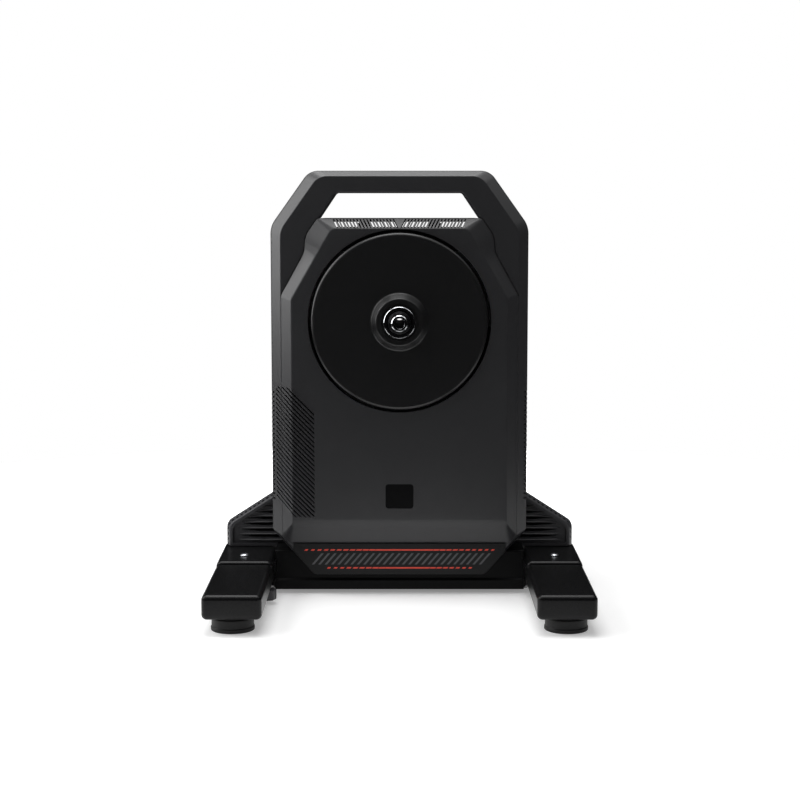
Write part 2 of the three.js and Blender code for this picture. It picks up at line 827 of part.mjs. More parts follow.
function rearCover() {
  const face = rearFace;
  const foot = frameHalfDepth + gap;
  const step = face - foot;
  const roofDrop = roofHeight - faceTop;
  const roofEdge = face - roofDrop;
  const deepening = foot - roofEdge;
  const wallFoot = coverWall * diagonalShare;
  const wallFace = wallFoot - coverWall;
  const wideRing = ringOf(footCorners, edgeInsets(0, -deepening, 0));
  const footRing = ringOf(footCorners, edgeInsets(0, 0, deepening));
  const faceRing = ringOf(footCorners, edgeInsets(step, step, roofDrop));
  const shell = join(
    loftY([{ y: foot, ring: footRing }, { y: face, ring: faceRing }]),
    roofBlock([
      { y: gap / 2, ring: wideRing },
      { y: roofEdge, ring: wideRing },
      { y: foot, ring: footRing },
      { y: face, ring: faceRing },
    ], gap, roofFloor),
  );
  const innerWide = ringOf(footCorners, edgeInsets(wallFoot, coverWall - deepening, coverWall));
  const innerFoot = ringOf(footCorners, edgeInsets(wallFoot, wallFoot, deepening + wallFoot));
  const innerFace = ringOf(footCorners, edgeInsets(step + wallFace, step + wallFace, roofDrop + wallFace));
  const hollow = join(
    loftY([{ y: foot - overrun, ring: innerFoot }, { y: face - coverWall, ring: innerFace }]),
    roofBlock([
      { y: -overrun, ring: innerWide },
      { y: roofEdge, ring: innerWide },
      { y: foot, ring: innerFoot },
      { y: face - coverWall, ring: innerFace },
    ], gap + coverWall, roofFloor - overrun),
  );
  const inside = join(...posts(gap / 2, face)).intersect(shell);
  const opening = discY(freehubOpeningRadius, foot, face + overrun, 0, axleHeight);
  const screwHoles = screwPlaces().map(([x, z]) => discY(
    screwRadius + gap, foot, face + overrun, x, z, smallSegments,
  ));
  return cut(
    join(cut(shell, hollow), inside), opening, ...screwHoles, roofSlots(roofEdge + coverWall, face + overrun),
  );
}

function sideGrille(side) {
  const outer = side * (bodyHalfWidth - gap);
  const inner = side * (bodyHalfWidth - gap - sideGrilleThickness);
  const x0 = Math.min(inner, outer);
  const x1 = Math.max(inner, outer);
  const plate = box(x0, x1, -sideGrilleHalfDepth, sideGrilleHalfDepth, sideGrilleBottom, ventTop);
  const slots = [];
  const last = ventTop - sideGrilleBorder - sideGrilleSlot;
  for (let z = sideGrilleBottom + sideGrilleBorder; z < last; z += sideGrillePitch) {
    slots.push(box(
      x0 - overrun, x1 + overrun,
      sideGrilleBorder - sideGrilleHalfDepth, sideGrilleHalfDepth - sideGrilleBorder, z, z + sideGrilleSlot,
    ));
  }
  return cut(plate, ...slots);
}

function lowerApron() {
  const back = -frameHalfDepth - gap;
  return prismY(mirrored([
    [apronBottomHalfWidth, apronBottom],
    [faceHalfWidth, apronCornerHeight],
    [faceHalfWidth, footBottom - gap],
  ]), back - apronThickness, back);
}

// Places of the drive-side cover screws, on both edges of the frame's cavity

function screwPlaces() {
  const x = cavityHalfWidth + screwInset;
  const heights = [cavityCornerHeight + screwLowRise, cavityTopHeight - screwHighDrop];
  return heights.flatMap((z) => [[-x, z], [x, z]]);
}

function coverScrew([x, z]) {
  const under = rearFace + gap;
  return turnedY([
    [0, under + screwHead], [screwHeadRadius, under + screwHead], [screwHeadRadius, under],
    [screwRadius, under], [screwRadius, under - screwLength], [0, under - screwLength],
  ], x, z, smallSegments);
}

// Bearing plate, the aluminium middle wall that carries the hub, the flywheel and the idler

function bearingPlate() {
  const lower = mirrored([
    [cavityBottomHalfWidth, cavityBottom, cavityRadius],
    [cavityHalfWidth, cavityCornerHeight, cavityRadius],
    [cavityHalfWidth, cavityTopHeight, cavityRadius],
    [shoulderHalfWidth, shoulderHeight, cavityRadius],
  ]);
  const sheet = prismY(ringOf(lower, gap), plateFront, plateBack);
  const hubBoss = discY(hubBossRadius, hubBossStart, plateBack, 0, axleHeight);
  const flyBoss = discY(flyBossRadius, flyBossStart, plateBack, 0, flywheelHeight);
  const hubSeatLeft = hubBossStart + hubBearingWidth + gap;
  const hubSeatRight = plateBack - hubBearingWidth - gap;
  const hubBores = [
    discY(hubBearingRadius + gap, hubBossStart - overrun, hubSeatLeft, 0, axleHeight),
    discY(hubLipRadius, hubBossStart - overrun, plateBack + overrun, 0, axleHeight),
    discY(hubBearingRadius + gap, hubSeatRight, plateBack + overrun, 0, axleHeight),
  ];
  const flyBore = discY(
    flyBearingRadius + gap, flyBossStart - overrun, plateBack + overrun, 0, flywheelHeight,
  );
  const windows = [-plateWindowX, plateWindowX].map((x) => box(
    x - plateWindowHalfWidth, x + plateWindowHalfWidth, plateFront - overrun, plateBack + overrun,
    plateWindowBottom, plateWindowTop,
  ));
  const studHoles = lugPlaces().map(([x, z]) => discY(
    studRadius + gap, plateFront - overrun, plateBack + overrun, x, z, smallSegments,
  ));
  return cut(join(sheet, hubBoss, flyBoss), ...hubBores, flyBore, ...windows, ...studHoles, armPivotHole());
}

// Wheel axle, hub and freehub, all round the axle line

function mainAxle() {
  return ringY(axleTubeRadius, axleBoreRadius, -axleTubeEnd, freehubEnd, 0, axleHeight);
}

function leftAdapter() {
  const root = adapterLength - axleEnd;
  const seat = -axleTubeEnd - gap;
  return turnedY([
    [axleBoreRadius, -axleEnd], [adapterFaceRadius, -axleEnd], [adapterRootRadius, root],
    [axleTubeRadius + gap, root], [axleTubeRadius + gap, seat], [axleBoreRadius, seat],
    [axleBoreRadius, -axleEnd],
  ], 0, axleHeight);
}

function rightAdapter() {
  const root = freehubEnd + gap;
  return turnedY([
    [axleBoreRadius, axleEnd], [adapterFaceRadius, axleEnd], [adapterNeckRadius, root],
    [axleBoreRadius, root], [axleBoreRadius, axleEnd],
  ], 0, axleHeight);
}

function axleBearing(start) {
  return ringY(axleBearingRadius, axleTubeRadius + gap, start, start + axleBearingWidth, 0, axleHeight);
}

function hubBearing(start) {
  return ringY(hubBearingRadius, shaftRadius + gap, start, start + hubBearingWidth, 0, axleHeight);
}

function flywheelBearing(start) {
  return ringY(flyBearingRadius, flyShaftRadius + gap, start, start + flyBearingWidth, 0, flywheelHeight);
}

function hubShaft() {
  const seat = axleBearingRadius + gap;
  const leftSeat = shaftLeft + axleBearingWidth + gap;
  const rightSeat = rightBearingStart - gap;
  return turnedY([
    [seat, shaftLeft], [shaftRadius, shaftLeft], [shaftRadius, shaftRight], [seat, shaftRight],
    [seat, rightSeat], [shaftBoreRadius, rightSeat], [shaftBoreRadius, leftSeat], [seat, leftSeat],
    [seat, shaftLeft],
  ], 0, axleHeight);
}

function shaftCap() {
  const right = shaftLeft - gap;
  const left = right - capWidth;
  const floor = right - capFloor;
  return turnedY([
    [capRecessRadius, left], [capRadius - capEdge, left], [capRadius, left + capEdge], [capRadius, right],
    [axleTubeRadius + gap, right], [axleTubeRadius + gap, floor], [capRecessRadius, floor],
    [capRecessRadius, left],
  ], 0, axleHeight);
}

function pulleyCover() {
  const bossFace = discFace - bossHeight;
  const inner = discRadius - discWall;
  const bore = shaftRadius + gap;
  const profile = [
    [bore, bossFace], [bossTopRadius, bossFace], [bossRootRadius, discFace], [discRadius - discRim, discFace],
  ];
  for (let step = 1; step <= cornerSteps; step += 1) {
    const angle = quarterTurn * step / cornerSteps;
    profile.push([
      discRadius - discRim + discRim * Math.sin(angle), discFace + discRim - discRim * Math.cos(angle),
    ]);
  }
  profile.push(
    [discRadius, discSkirtEnd], [inner, discSkirtEnd], [inner, discFace + discWall],
    [bossRootRadius, discFace + discWall], [bossTopRadius, discSkirtEnd], [bore, discSkirtEnd],
    [bore, bossFace],
  );
  return turnedY(profile, 0, axleHeight, fineSegments);
}

function drivePulley() {
  const back = beltStart + beltWidth;
  const middle = (beltStart + back) / 2;
  const rim = drivePulleyRadius - pulleyRimWall;
  const half = pulleyWebThickness / 2;
  const bore = shaftRadius + gap;
  const body = turnedY([
    [bore, beltStart], [pulleyHubRadius, beltStart], [pulleyHubRadius, middle - half], [rim, middle - half],
    [rim, beltStart], [drivePulleyRadius, beltStart], [drivePulleyRadius, back], [rim, back],
    [rim, middle + half], [pulleyHubRadius, middle + half], [pulleyHubRadius, back], [bore, back],
    [bore, beltStart],
  ], 0, axleHeight, wheelSegments);
  const windows = [];
  for (let index = 0; index < pulleyWindowCount; index += 1) {
    const angle = 2 * halfTurn * index / pulleyWindowCount;
    windows.push(discY(
      pulleyWindowRadius, beltStart, back,
      pulleyWindowCircle * Math.sin(angle), axleHeight + pulleyWindowCircle * Math.cos(angle), smallSegments,
    ));
  }
  return cut(body, ...windows);
}

const smallPulleyRadius = drivePulleyRadius / driveRatio;
const beltLean = Math.asin((drivePulleyRadius - smallPulleyRadius) / (axleHeight - flywheelHeight));

// The belt's two straight runs touch both pulleys, and the arcs between them follow the pulleys.

function beltRing(offset) {
  const big = drivePulleyRadius + offset;
  const small = smallPulleyRadius + offset;
  const ring = [];
  for (let step = 0; step <= wheelSegments; step += 1) {
    const angle = -beltLean + (halfTurn + 2 * beltLean) * step / wheelSegments;
    ring.push([big * Math.cos(angle), axleHeight + big * Math.sin(angle)]);
  }
  for (let step = 0; step <= smallSegments; step += 1) {
    const angle = halfTurn + beltLean + (halfTurn - 2 * beltLean) * step / smallSegments;
    ring.push([small * Math.cos(angle), flywheelHeight + small * Math.sin(angle)]);
  }
  return ring;
}

function driveBelt() {
  const outer = prismY(beltRing(gap + beltThickness), beltStart, beltStart + beltWidth);
  const inner = prismY(beltRing(gap * 2), beltStart - overrun, beltStart + beltWidth + overrun);
  return cut(outer, inner);
}

function idlerPlace() {
  const outwards = new THREE.Vector2(Math.cos(beltLean), -Math.sin(beltLean));
  const offset = 2 * gap + beltThickness;
  const high = new THREE.Vector2(0, axleHeight).addScaledVector(outwards, drivePulleyRadius + offset);
  const low = new THREE.Vector2(0, flywheelHeight).addScaledVector(outwards, smallPulleyRadius + offset);
  return low.lerp(high, idlerPlaceShare).addScaledVector(outwards, idlerRadius);
}

function idlerPulley() {
  const { x, y } = idlerPlace();
  return ringY(idlerRadius, idlerBoltRadius + gap, beltStart, beltStart + beltWidth, x, y, roundSegments);
}

function armPivotPlace() {
  const place = idlerPlace();
  return { x: place.x + armReachX, y: place.y - armDrop };
}

function armPivotHole() {
  const { x, y } = armPivotPlace();
  return discY(idlerBoltRadius + gap, plateFront - overrun, beltStart, x, y, smallSegments);
}

// Flat link over the idler, with its pivot boss down to the bearing plate and the idler's own stub

function tensionArm() {
  const idler = idlerPlace();
  const pivot = armPivotPlace();
  const front = beltStart + beltWidth + gap;
  const back = front + armThickness;
  const along = new THREE.Vector2(pivot.x - idler.x, pivot.y - idler.y).setLength(armEndRadius);
  const link = prismY([
    [idler.x - along.y, idler.y + along.x], [idler.x + along.y, idler.y - along.x],
    [pivot.x + along.y, pivot.y - along.x], [pivot.x - along.y, pivot.y + along.x],
  ], front, back);
  const ends = [idler, pivot].map(({ x, y }) => discY(armEndRadius, front, back, x, y, roundSegments));
  const stub = discY(idlerBoltRadius, beltStart, front + overrun, idler.x, idler.y, smallSegments);
  const boss = discY(armPivotRadius, plateBack + gap, front + overrun, pivot.x, pivot.y);
  const bore = discY(
    idlerBoltRadius + gap, beltStart - overrun, back + overrun, pivot.x, pivot.y, smallSegments,
  );
  return cut(join(link, ...ends, stub, boss), bore);
}

function tensionBolt() {
  const { x, y } = armPivotPlace();
  const front = beltStart + beltWidth + gap + armThickness + gap;
  return turnedY([
    [0, front + armBoltHead], [armPivotRadius, front + armBoltHead], [armPivotRadius, front],
    [idlerBoltRadius, front], [idlerBoltRadius, plateFront], [0, plateFront],
  ], x, y, smallSegments);
}

// Splined freehub body, with a bearing seat at each end of its bore and room for the ratchet in the first

function freehubBody() {
  const flangeEnd = freehubStart + freehubFlangeWidth;
  const seat = axleBearingRadius + gap;
  const outerSeat = freehubEnd - axleBearingWidth - gap;
  const recessEnd = ratchetEnd + gap;
  const innerSeat = recessEnd + axleBearingWidth + gap;
  const sleeve = turnedY([
    [ratchetBoreRadius, freehubStart], [freehubFlangeRadius, freehubStart], [freehubFlangeRadius, flangeEnd],
    [freehubRadius, flangeEnd], [freehubRadius, freehubEnd], [seat, freehubEnd], [seat, outerSeat],
    [shaftBoreRadius, outerSeat], [shaftBoreRadius, innerSeat], [seat, innerSeat], [seat, recessEnd],
    [ratchetBoreRadius, recessEnd], [ratchetBoreRadius, freehubStart],
  ], 0, axleHeight);
  const grooves = [];
  for (let index = 0; index < splineCount; index += 1) {
    const groove = new THREE.BoxGeometry(splineWidth, freehubLength, 2 * splineDepth);
    groove.translate(0, flangeEnd + freehubLength / 2, freehubRadius);
    groove.rotateY(2 * halfTurn * index / splineCount);
    groove.translate(0, 0, axleHeight);
    grooves.push(solid(groove));
  }
  return cut(sleeve, ...grooves);
}

// Toothed ring with a spigot in the shaft's right end, which drives the freehub one way

function ratchetRing() {
  const start = shaftRight + gap;
  const spigotStart = shaftRight - ratchetSpigotLength;
  const points = [];
  for (let tooth = 0; tooth < ratchetTeeth; tooth += 1) {
    const angle = 2 * halfTurn * tooth / ratchetTeeth;
    const tip = ratchetBoreRadius - gap;
    const root = tip - ratchetToothDepth;
    points.push([tip * Math.cos(angle), axleHeight + tip * Math.sin(angle)]);
    points.push([root * Math.cos(angle), axleHeight + root * Math.sin(angle)]);
  }
  const ring = prismY(points, start, ratchetEnd);
  const spigot = discY(axleBearingRadius, spigotStart, start + overrun, 0, axleHeight);
  const bore = discY(shaftBoreRadius, spigotStart - overrun, ratchetEnd + overrun, 0, axleHeight);
  return cut(join(ring, spigot), bore);
}

// Flywheel, its shaft and the brake inside it; a thin ring of wire joins the six windings

function flywheel() {
  const back = flywheelFront + flywheelWidth;
  const rim = flywheelRadius - flywheelRimWall;
  const web = flywheelFront + flywheelWeb;
  const bore = flyShaftRadius + gap;
  return turnedY([
    [bore, flywheelFront], [flywheelRadius - flywheelEdge, flywheelFront],
    [flywheelRadius, flywheelFront + flywheelEdge], [flywheelRadius, back - flywheelEdge],
    [flywheelRadius - flywheelEdge, back], [rim, back], [rim, web], [flywheelHubRadius, web],
    [flywheelHubRadius, web + flywheelHubProud], [bore, web + flywheelHubProud], [bore, flywheelFront],
  ], 0, flywheelHeight, wheelSegments);
}

function flywheelShaft() {
  const back = beltStart + beltWidth + flyShaftProud;
  return discY(flyShaftRadius, flywheelFront - flyShaftProud, back, 0, flywheelHeight);
}

function flywheelPulley() {
  const bore = flyShaftRadius + gap;
  return ringY(smallPulleyRadius, bore, beltStart, beltStart + beltWidth, 0, flywheelHeight);
}

function brakeCore() {
  const ring = ringY(coreRingRadius, flyBossRadius + gap, coreFront, coreBack, 0, flywheelHeight);
  const poles = [];
  for (let index = 0; index < corePoleCount; index += 1) {
    const pole = new THREE.BoxGeometry(corePoleWidth, coreDepth, corePoleReach - coreRingRadius + overrun);
    pole.translate(0, (coreFront + coreBack) / 2, (corePoleReach + coreRingRadius - overrun) / 2);
    pole.rotateY(2 * halfTurn * index / corePoleCount);
    pole.translate(0, 0, flywheelHeight);
    poles.push(solid(pole));
  }
  return join(ring, ...poles);
}

function brakeCoils() {
  const coilFront = coreFront - coilProud;
  const coils = [ringY(coilStart + coilWidth, coilStart, coilFront, coreFront - gap, 0, flywheelHeight)];
  const depth = coreDepth + 2 * coilProud;
  const middle = (coreFront + coreBack) / 2;
  for (let index = 0; index < corePoleCount; index += 1) {
    const winding = new THREE.BoxGeometry(corePoleWidth + 2 * coilWidth, depth, coilLength);
    const hole = new THREE.BoxGeometry(corePoleWidth + 2 * gap, coreDepth + gap, coilLength + overrun);
    const [coil, core] = [winding, hole].map((piece) => {
      piece.translate(0, middle, coilStart + coilLength / 2);
      piece.rotateY(2 * halfTurn * index / corePoleCount);
      piece.translate(0, 0, flywheelHeight);
      return solid(piece);
    });
    coils.push(cut(coil, core));
  }
  return join(...coils);
}

function speedSensor() {
  const left = flywheelRadius + sensorOffset;
  const back = plateFront - gap;
  return box(
    left, left + sensorSize, back - sensorSize, back,
    flywheelHeight - sensorSize / 2, flywheelHeight + sensorSize / 2,
  );
}

// Base

function crossBeam() {
  const end = legInner - gap;
  const channel = cut(
    box(-end, end, beamFront, beamBack, beamBottom, beamTop),
    box(
      -end - overrun, end + overrun, beamFront + beamWall, beamBack - beamWall,
      beamBottom - overrun, spigotBottom - beamWall,
    ),
  );
  const lip = box(-end, end, beamFront - lipProud, beamFront + overrun, beamBottom, lipTop);
  const spigots = [-1, 1].map((side) => cut(
    box(
      Math.min(side * end - side * overrun, side * spigotEnd),
      Math.max(side * end - side * overrun, side * spigotEnd),
      spigotFront, spigotBack, spigotBottom, spigotTop,
    ),
    discZ(baseBoltRadius + gap, spigotBottom - overrun, spigotTop + overrun, side * baseBoltX, baseBoltY),
  ));
  return join(channel, lip, ...spigots);
}

// A bar along Y with a rounded section, whose ends round over by their own radii

function roundedBar(x0, x1, y0, y1, bottom, startRadius, endRadius) {
  const top = bottom + legHeight;
  const corners = [
    [x0, bottom, legEdgeRadius], [x1, bottom, legEdgeRadius],
    [x1, top, legEdgeRadius], [x0, top, legEdgeRadius],
  ];
  const sectionsOf = (place, radius, inwards) => {
    const first = quarterTurn / cornerSteps;
    return Array.from({ length: cornerSteps }, (_, step) => {
      const angle = first * (step + 1);
      const inset = radius * (1 - Math.sin(angle));
      const eased = insetCorners(corners, inset).map(([x, z]) => [x, z, legEdgeRadius - inset]);
      const travel = radius * (1 - Math.cos(angle) / Math.cos(first));
      return { y: place + inwards * travel, ring: roundCorners(eased) };
    });
  };
  return loftY([...sectionsOf(y0, startRadius, 1), ...sectionsOf(y1, endRadius, -1).reverse()]);
}

// Hinge pin place for the leg at one corner of the base

function pinPlace(sideX, sideY) {
  return [sideX * (legInner + pinInset), sideY * (blockHalfLength + seamGap + pinBehindSeam)];
}

function baseBlock(side) {
  const x0 = side > 0 ? legInner : -legOuter;
  const x1 = side > 0 ? legOuter : -legInner;
  const bar = roundedBar(x0, x1, -blockHalfLength, blockHalfLength, blockBottom, seamEdge, seamEdge);
  const pocket = box(
    Math.min(side * (legInner - overrun), side * (spigotEnd + gap)),
    Math.max(side * (legInner - overrun), side * (spigotEnd + gap)),
    spigotFront - gap, spigotBack + gap, spigotBottom - gap, spigotTop + gap,
  );
  const boltHole = discZ(baseBoltRadius + gap, spigotBottom, blockTop + overrun, side * baseBoltX, baseBoltY);
  const tongues = [-1, 1].map((sideY) => {
    const [x, y] = pinPlace(side, sideY);
    const root = sideY * (blockHalfLength - legEdgeRadius);
    const tongue = join(
      discZ(tongueRadius, tongueBottom, tongueTop, x, y, roundSegments),
      box(x - tongueRadius, x + tongueRadius, Math.min(y, root), Math.max(y, root), tongueBottom, tongueTop),
    );
    return cut(tongue, discZ(pinRadius + gap, tongueBottom - overrun, tongueTop + overrun, x, y));
  });
  const railStart = side > 0 ? x0 : x1 - railWidth;
  const railEnd = railStart + railWidth;
  const rail = loftY([[railTaper - blockHalfLength + seamGap, railTaper], [beamFront, 0], [beamBack, 0]].map(
    ([y, rise]) => ({ y, ring: [
      [railStart, railBottom + rise], [railEnd, railBottom + rise], [railEnd, railTop], [railStart, railTop],
    ] }),
  ));
  return join(cut(bar, pocket, boltHole), rail, ...tongues);
}

function leg(sideX, sideY) {
  const x0 = sideX > 0 ? legInner : -legOuter;
  const x1 = sideX > 0 ? legOuter : -legInner;
  const seam = blockHalfLength + seamGap;
  const bar = sideY > 0
    ? roundedBar(x0, x1, seam, legEnd, legBottom, seamEdge, legEndRadius)
    : roundedBar(x0, x1, -legEnd, -seam, legBottom, legEndRadius, seamEdge);
  const [x, y] = pinPlace(sideX, sideY);
  const near = sideX * (legInner - overrun);
  const edge = sideY * (seam - overrun);
  const corner = cut(
    box(
      Math.min(near, x), Math.max(near, x), Math.min(edge, y), Math.max(edge, y),
      legBottom - overrun, legTop + overrun,
    ),
    discZ(hingeCornerRadius, legBottom - 2 * overrun, legTop + 2 * overrun, x, y, roundSegments),
  );
  const reach = tongueRadius + 2 * gap;
  const pocket = box(
    Math.min(near, x + sideX * reach), Math.max(near, x + sideX * reach),
    Math.min(edge, y + sideY * reach), Math.max(edge, y + sideY * reach),
    tongueBottom - gap, tongueTop + gap,
  );
  const pinHole = discZ(pinRadius + gap, legBottom - overrun, pinTop + gap, x, y);
  const studHole = discZ(
    footStudRadius + gap, legBottom - overrun, legBottom + footStudLength + gap, sideX * footX, sideY * footY,
  );
  return cut(bar, corner, pocket, pinHole, studHole);
}

function hingePin(sideX, sideY, hasKnob) {
  const [x, y] = pinPlace(sideX, sideY);
  return discZ(pinRadius, hasKnob ? knobPinEnd : legBottom + gap, pinTop, x, y);
}

function lockKnob(sideX, sideY) {
  const [x, y] = pinPlace(sideX, sideY);
  const points = [];
  const steps = knobLobes * cornerSteps * 2;
  for (let step = 0; step < steps; step += 1) {
    const angle = 2 * halfTurn * step / steps;
    const radius = knobRadius - knobLobeDepth * (1 - Math.cos(knobLobes * angle)) / 2;
    points.push(new THREE.Vector2(radius * Math.cos(angle), radius * Math.sin(angle)));
  }
  const geometry = new THREE.ExtrudeGeometry(new THREE.Shape(points), {
    depth: legBottom - gap - knobBottom, bevelEnabled: false,
  });
  geometry.translate(x, y, knobBottom);
  return cut(solid(geometry), discZ(pinRadius + gap, knobPinEnd - gap, legBottom, x, y));
}

function rubberFoot(sideX, sideY) {
  return turnedZ([
    [0, 0], [footPadRadius - footEdge, 0], [footPadRadius, footEdge], [footPadRadius, footPadHeight],
    [footNeckRadius, legBottom - gap - footEdge], [footNeckRadius, legBottom - gap],
    [footStudRadius, legBottom - gap], [footStudRadius, legBottom + footStudLength],
    [0, legBottom + footStudLength],
  ], sideX * footX, sideY * footY, footSegments);
}

function baseBolt(side) {
  const under = blockTop + gap;
  const top = under + baseBoltHead;
  const bolt = turnedZ([
    [0, spigotBottom], [baseBoltRadius, spigotBottom], [baseBoltRadius, under], [baseBoltHeadRadius, under],
    [baseBoltHeadRadius, top - baseBoltEdge], [baseBoltHeadRadius - baseBoltEdge, top], [0, top],
  ], side * baseBoltX, baseBoltY, roundSegments);
  const socket = discZ(
    baseBoltSocketRadius, top - baseBoltSocketDepth, top + overrun, side * baseBoltX, baseBoltY, socketSides,
  );
  return cut(bolt, socket);
}

// Rear housing, a low wide hood over the cross beam and the base blocks

const housingCorners = mirrored([
  [housingHalfWidth, housingBottom, 0],
  [housingHalfWidth, housingEndHeight, housingEndRadius],
  [housingTopHalfWidth, housingTop, housingEndRadius],
]);

function rearHousing() {
  const outer = ringOf(housingCorners);
  const eased = ringOf(housingCorners, [housingEdge, housingEdge, housingEdge, housingEdge, housingEdge, 0]);
  const shell = loftY([
    { y: housingFront, ring: eased },
    { y: housingFront + housingEdge, ring: outer },
    { y: housingBack, ring: ringOf(housingCorners, [
      housingEdge, housingEdge + housingDraft, housingEdge + housingDraft, housingEdge + housingDraft,
      housingEdge, 0,
    ]) },
  ]);
  const side = housingWall + housingEdge;
  const top = side + housingDraft;
  const hollow = loftY([
    {
      y: housingFront + housingWall,
      ring: ringOf(housingCorners, [side, side, side, side, side, housingFloor]),
    },
    {
      y: housingBack - housingWall,
      ring: ringOf(housingCorners, [side, top, top, top, side, housingFloor]),
    },
  ]);
  const overBeam = box(
    -legInner, legInner, housingFront - overrun, beamBack + gap, housingBottom - overrun, beamTop + gap,
  );
  const ribArea = prismY(
    ringOf(housingCorners, housingCorners.map(() => ribBorder + housingEdge)),
    housingFront - overrun, housingFront + ribDepth,
  );
  const grooves = [];
  for (let index = 0; index < ribCount; index += 1) {
    const z = ribFirstHeight + index * ribPitch;
    grooves.push(box(
      -housingHalfWidth, housingHalfWidth, housingFront - overrun, housingFront + ribDepth, z, z + ribGroove,
    ));
  }
  const holes = [[inletRadius, fittingX], [lampRadius, -fittingX]].map(([radius, x]) => discY(
    radius + gap, housingBack - housingWall - overrun, housingBack + overrun, x, fittingHeight, smallSegments,
  ));
  const standoffs = standoffPlaces().map(([x, z]) => discY(
    standoffRadius, housingBack - housingWall - boardStandoff, housingBack - housingWall + overrun, x, z,
    smallSegments,
  ));
  return join(
    cut(shell, hollow, overBeam, join(...grooves).intersect(ribArea), ...holes), ...standoffs,
  );
}

function standoffPlaces() {
  const x = boardHalfWidth - standoffInset;
  return [boardBottom + standoffInset, boardTop - standoffInset].flatMap((z) => [[-x, z], [x, z]]);
}

function controlBoard() {
  const back = housingBack - housingWall - boardStandoff - gap;
  const middle = (boardBottom + boardTop) / 2;
  const sheet = box(-boardHalfWidth, boardHalfWidth, back - boardThickness, back, boardBottom, boardTop);
  const chip = box(
    -chipHalfWidth, chipHalfWidth, back - boardThickness - chipThickness, back - boardThickness / 2,
    middle - chipHeight / 2, middle + chipHeight / 2,
  );
  return join(sheet, chip);
}

function powerInlet() {
  const rim = housingBack + gap;
  const floor = rim + inletFlange - inletDepth;
  return turnedY([
    [0, floor - inletFlange], [inletRadius, floor - inletFlange], [inletRadius, rim],
    [inletFlangeRadius, rim], [inletFlangeRadius, rim + inletFlange], [inletBoreRadius, rim + inletFlange],
    [inletBoreRadius, floor], [inletPinRadius, floor], [inletPinRadius, rim], [0, rim],
  ], fittingX, fittingHeight, smallSegments);
}

function statusLamp() {
  const front = housingBack - housingWall;
  return discY(lampRadius, front, housingBack + lampProud, -fittingX, fittingHeight, smallSegments);
}

// The pieces, from the outside in

addPiece("carry_frame", carryFrame(), charcoalPlastic);
addPiece("front_cover", frontCover(), charcoalPlastic);
addPiece("rear_cover", rearCover(), charcoalPlastic);
addPiece("lower_apron", lowerApron(), charcoalPlastic);
addPiece("side_grille_left", sideGrille(-1), blackPlastic);
addPiece("side_grille_right", sideGrille(1), blackPlastic);
screwPlaces().forEach((place, index) => {
  addPiece(`cover_screw_${index + 1}`, coverScrew(place), darkSteel);
});
addPiece("bearing_plate", bearingPlate(), aluminium);
addPiece("main_axle", mainAxle(), darkSteel);
addPiece("adapter_left", leftAdapter(), aluminium);
addPiece("adapter_right", rightAdapter(), aluminium);
addPiece("hub_shaft", hubShaft(), steel);
addPiece("shaft_cap", shaftCap(), blackMetal);
addPiece("axle_bearing_left", axleBearing(shaftLeft), steel);
addPiece("axle_bearing_right", axleBearing(rightBearingStart), steel);
addPiece("hub_bearing_left", hubBearing(hubBossStart), steel);
addPiece("hub_bearing_right", hubBearing(plateBack - hubBearingWidth), steel);
addPiece("pulley_cover", pulleyCover(), discPlastic);
addPiece("drive_pulley", drivePulley(), aluminium);
addPiece("drive_belt", driveBelt(), blackRubber);
addPiece("freehub_body", freehubBody(), darkSteel);
addPiece("ratchet_ring", ratchetRing(), steel);
addPiece("freehub_bearing_inner", axleBearing(ratchetEnd + gap), steel);
addPiece("freehub_bearing_outer", axleBearing(freehubEnd - axleBearingWidth), steel);
addPiece("flywheel", flywheel(), castIron);
addPiece("flywheel_shaft", flywheelShaft(), steel);
addPiece("flywheel_pulley", flywheelPulley(), steel);
addPiece("flywheel_bearing_front", flywheelBearing(flyBossStart), steel);
addPiece("flywheel_bearing_rear", flywheelBearing(plateBack - flyBearingWidth), steel);
addPiece("brake_core", brakeCore(), darkSteel);
addPiece("brake_coils", brakeCoils(), copper);
addPiece("speed_sensor", speedSensor(), blackPlastic);
addPiece("idler_pulley", idlerPulley(), darkSteel);
addPiece("tension_arm", tensionArm(), aluminium);
addPiece("tension_bolt", tensionBolt(), steel);
addPiece("cross_beam", crossBeam(), blackMetal);
addPiece("rear_housing", rearHousing(), blackPlastic);
addPiece("control_board", controlBoard(), circuitGreen);
addPiece("power_inlet", powerInlet(), blackPlastic);
addPiece("status_lamp", statusLamp(), lampPlastic);
addPiece("base_block_left", baseBlock(-1), blackMetal);
addPiece("base_block_right", baseBlock(1), blackMetal);
addPiece("base_bolt_left", baseBolt(-1), steel);
addPiece("base_bolt_right", baseBolt(1), steel);

const corners = [["near", -1], ["far", 1]].flatMap(([nearness, sideY]) => (
  [["left", -1], ["right", 1]].map(([hand, sideX]) => ({ place: `${nearness}_${hand}`, sideX, sideY }))
));
corners.forEach(({ place, sideX, sideY }) => {
  const hasKnob = sideX < 0 && sideY < 0;
  addPiece(`leg_${place}`, leg(sideX, sideY), blackMetal);
  addPiece(`hinge_pin_${place}`, hingePin(sideX, sideY, hasKnob), steel);
  addPiece(`foot_${place}`, rubberFoot(sideX, sideY), blackRubber);
  if (hasKnob) {
    addPiece("lock_knob", lockKnob(sideX, sideY), blackPlastic);
  }
});

export default group;
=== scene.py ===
"""Looks of a direct drive bike trainer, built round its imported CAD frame.

X runs along the bicycle, Y points to its drive side and Z is up. Shapes are worked out in
millimetres and put into meshes in metres.
"""

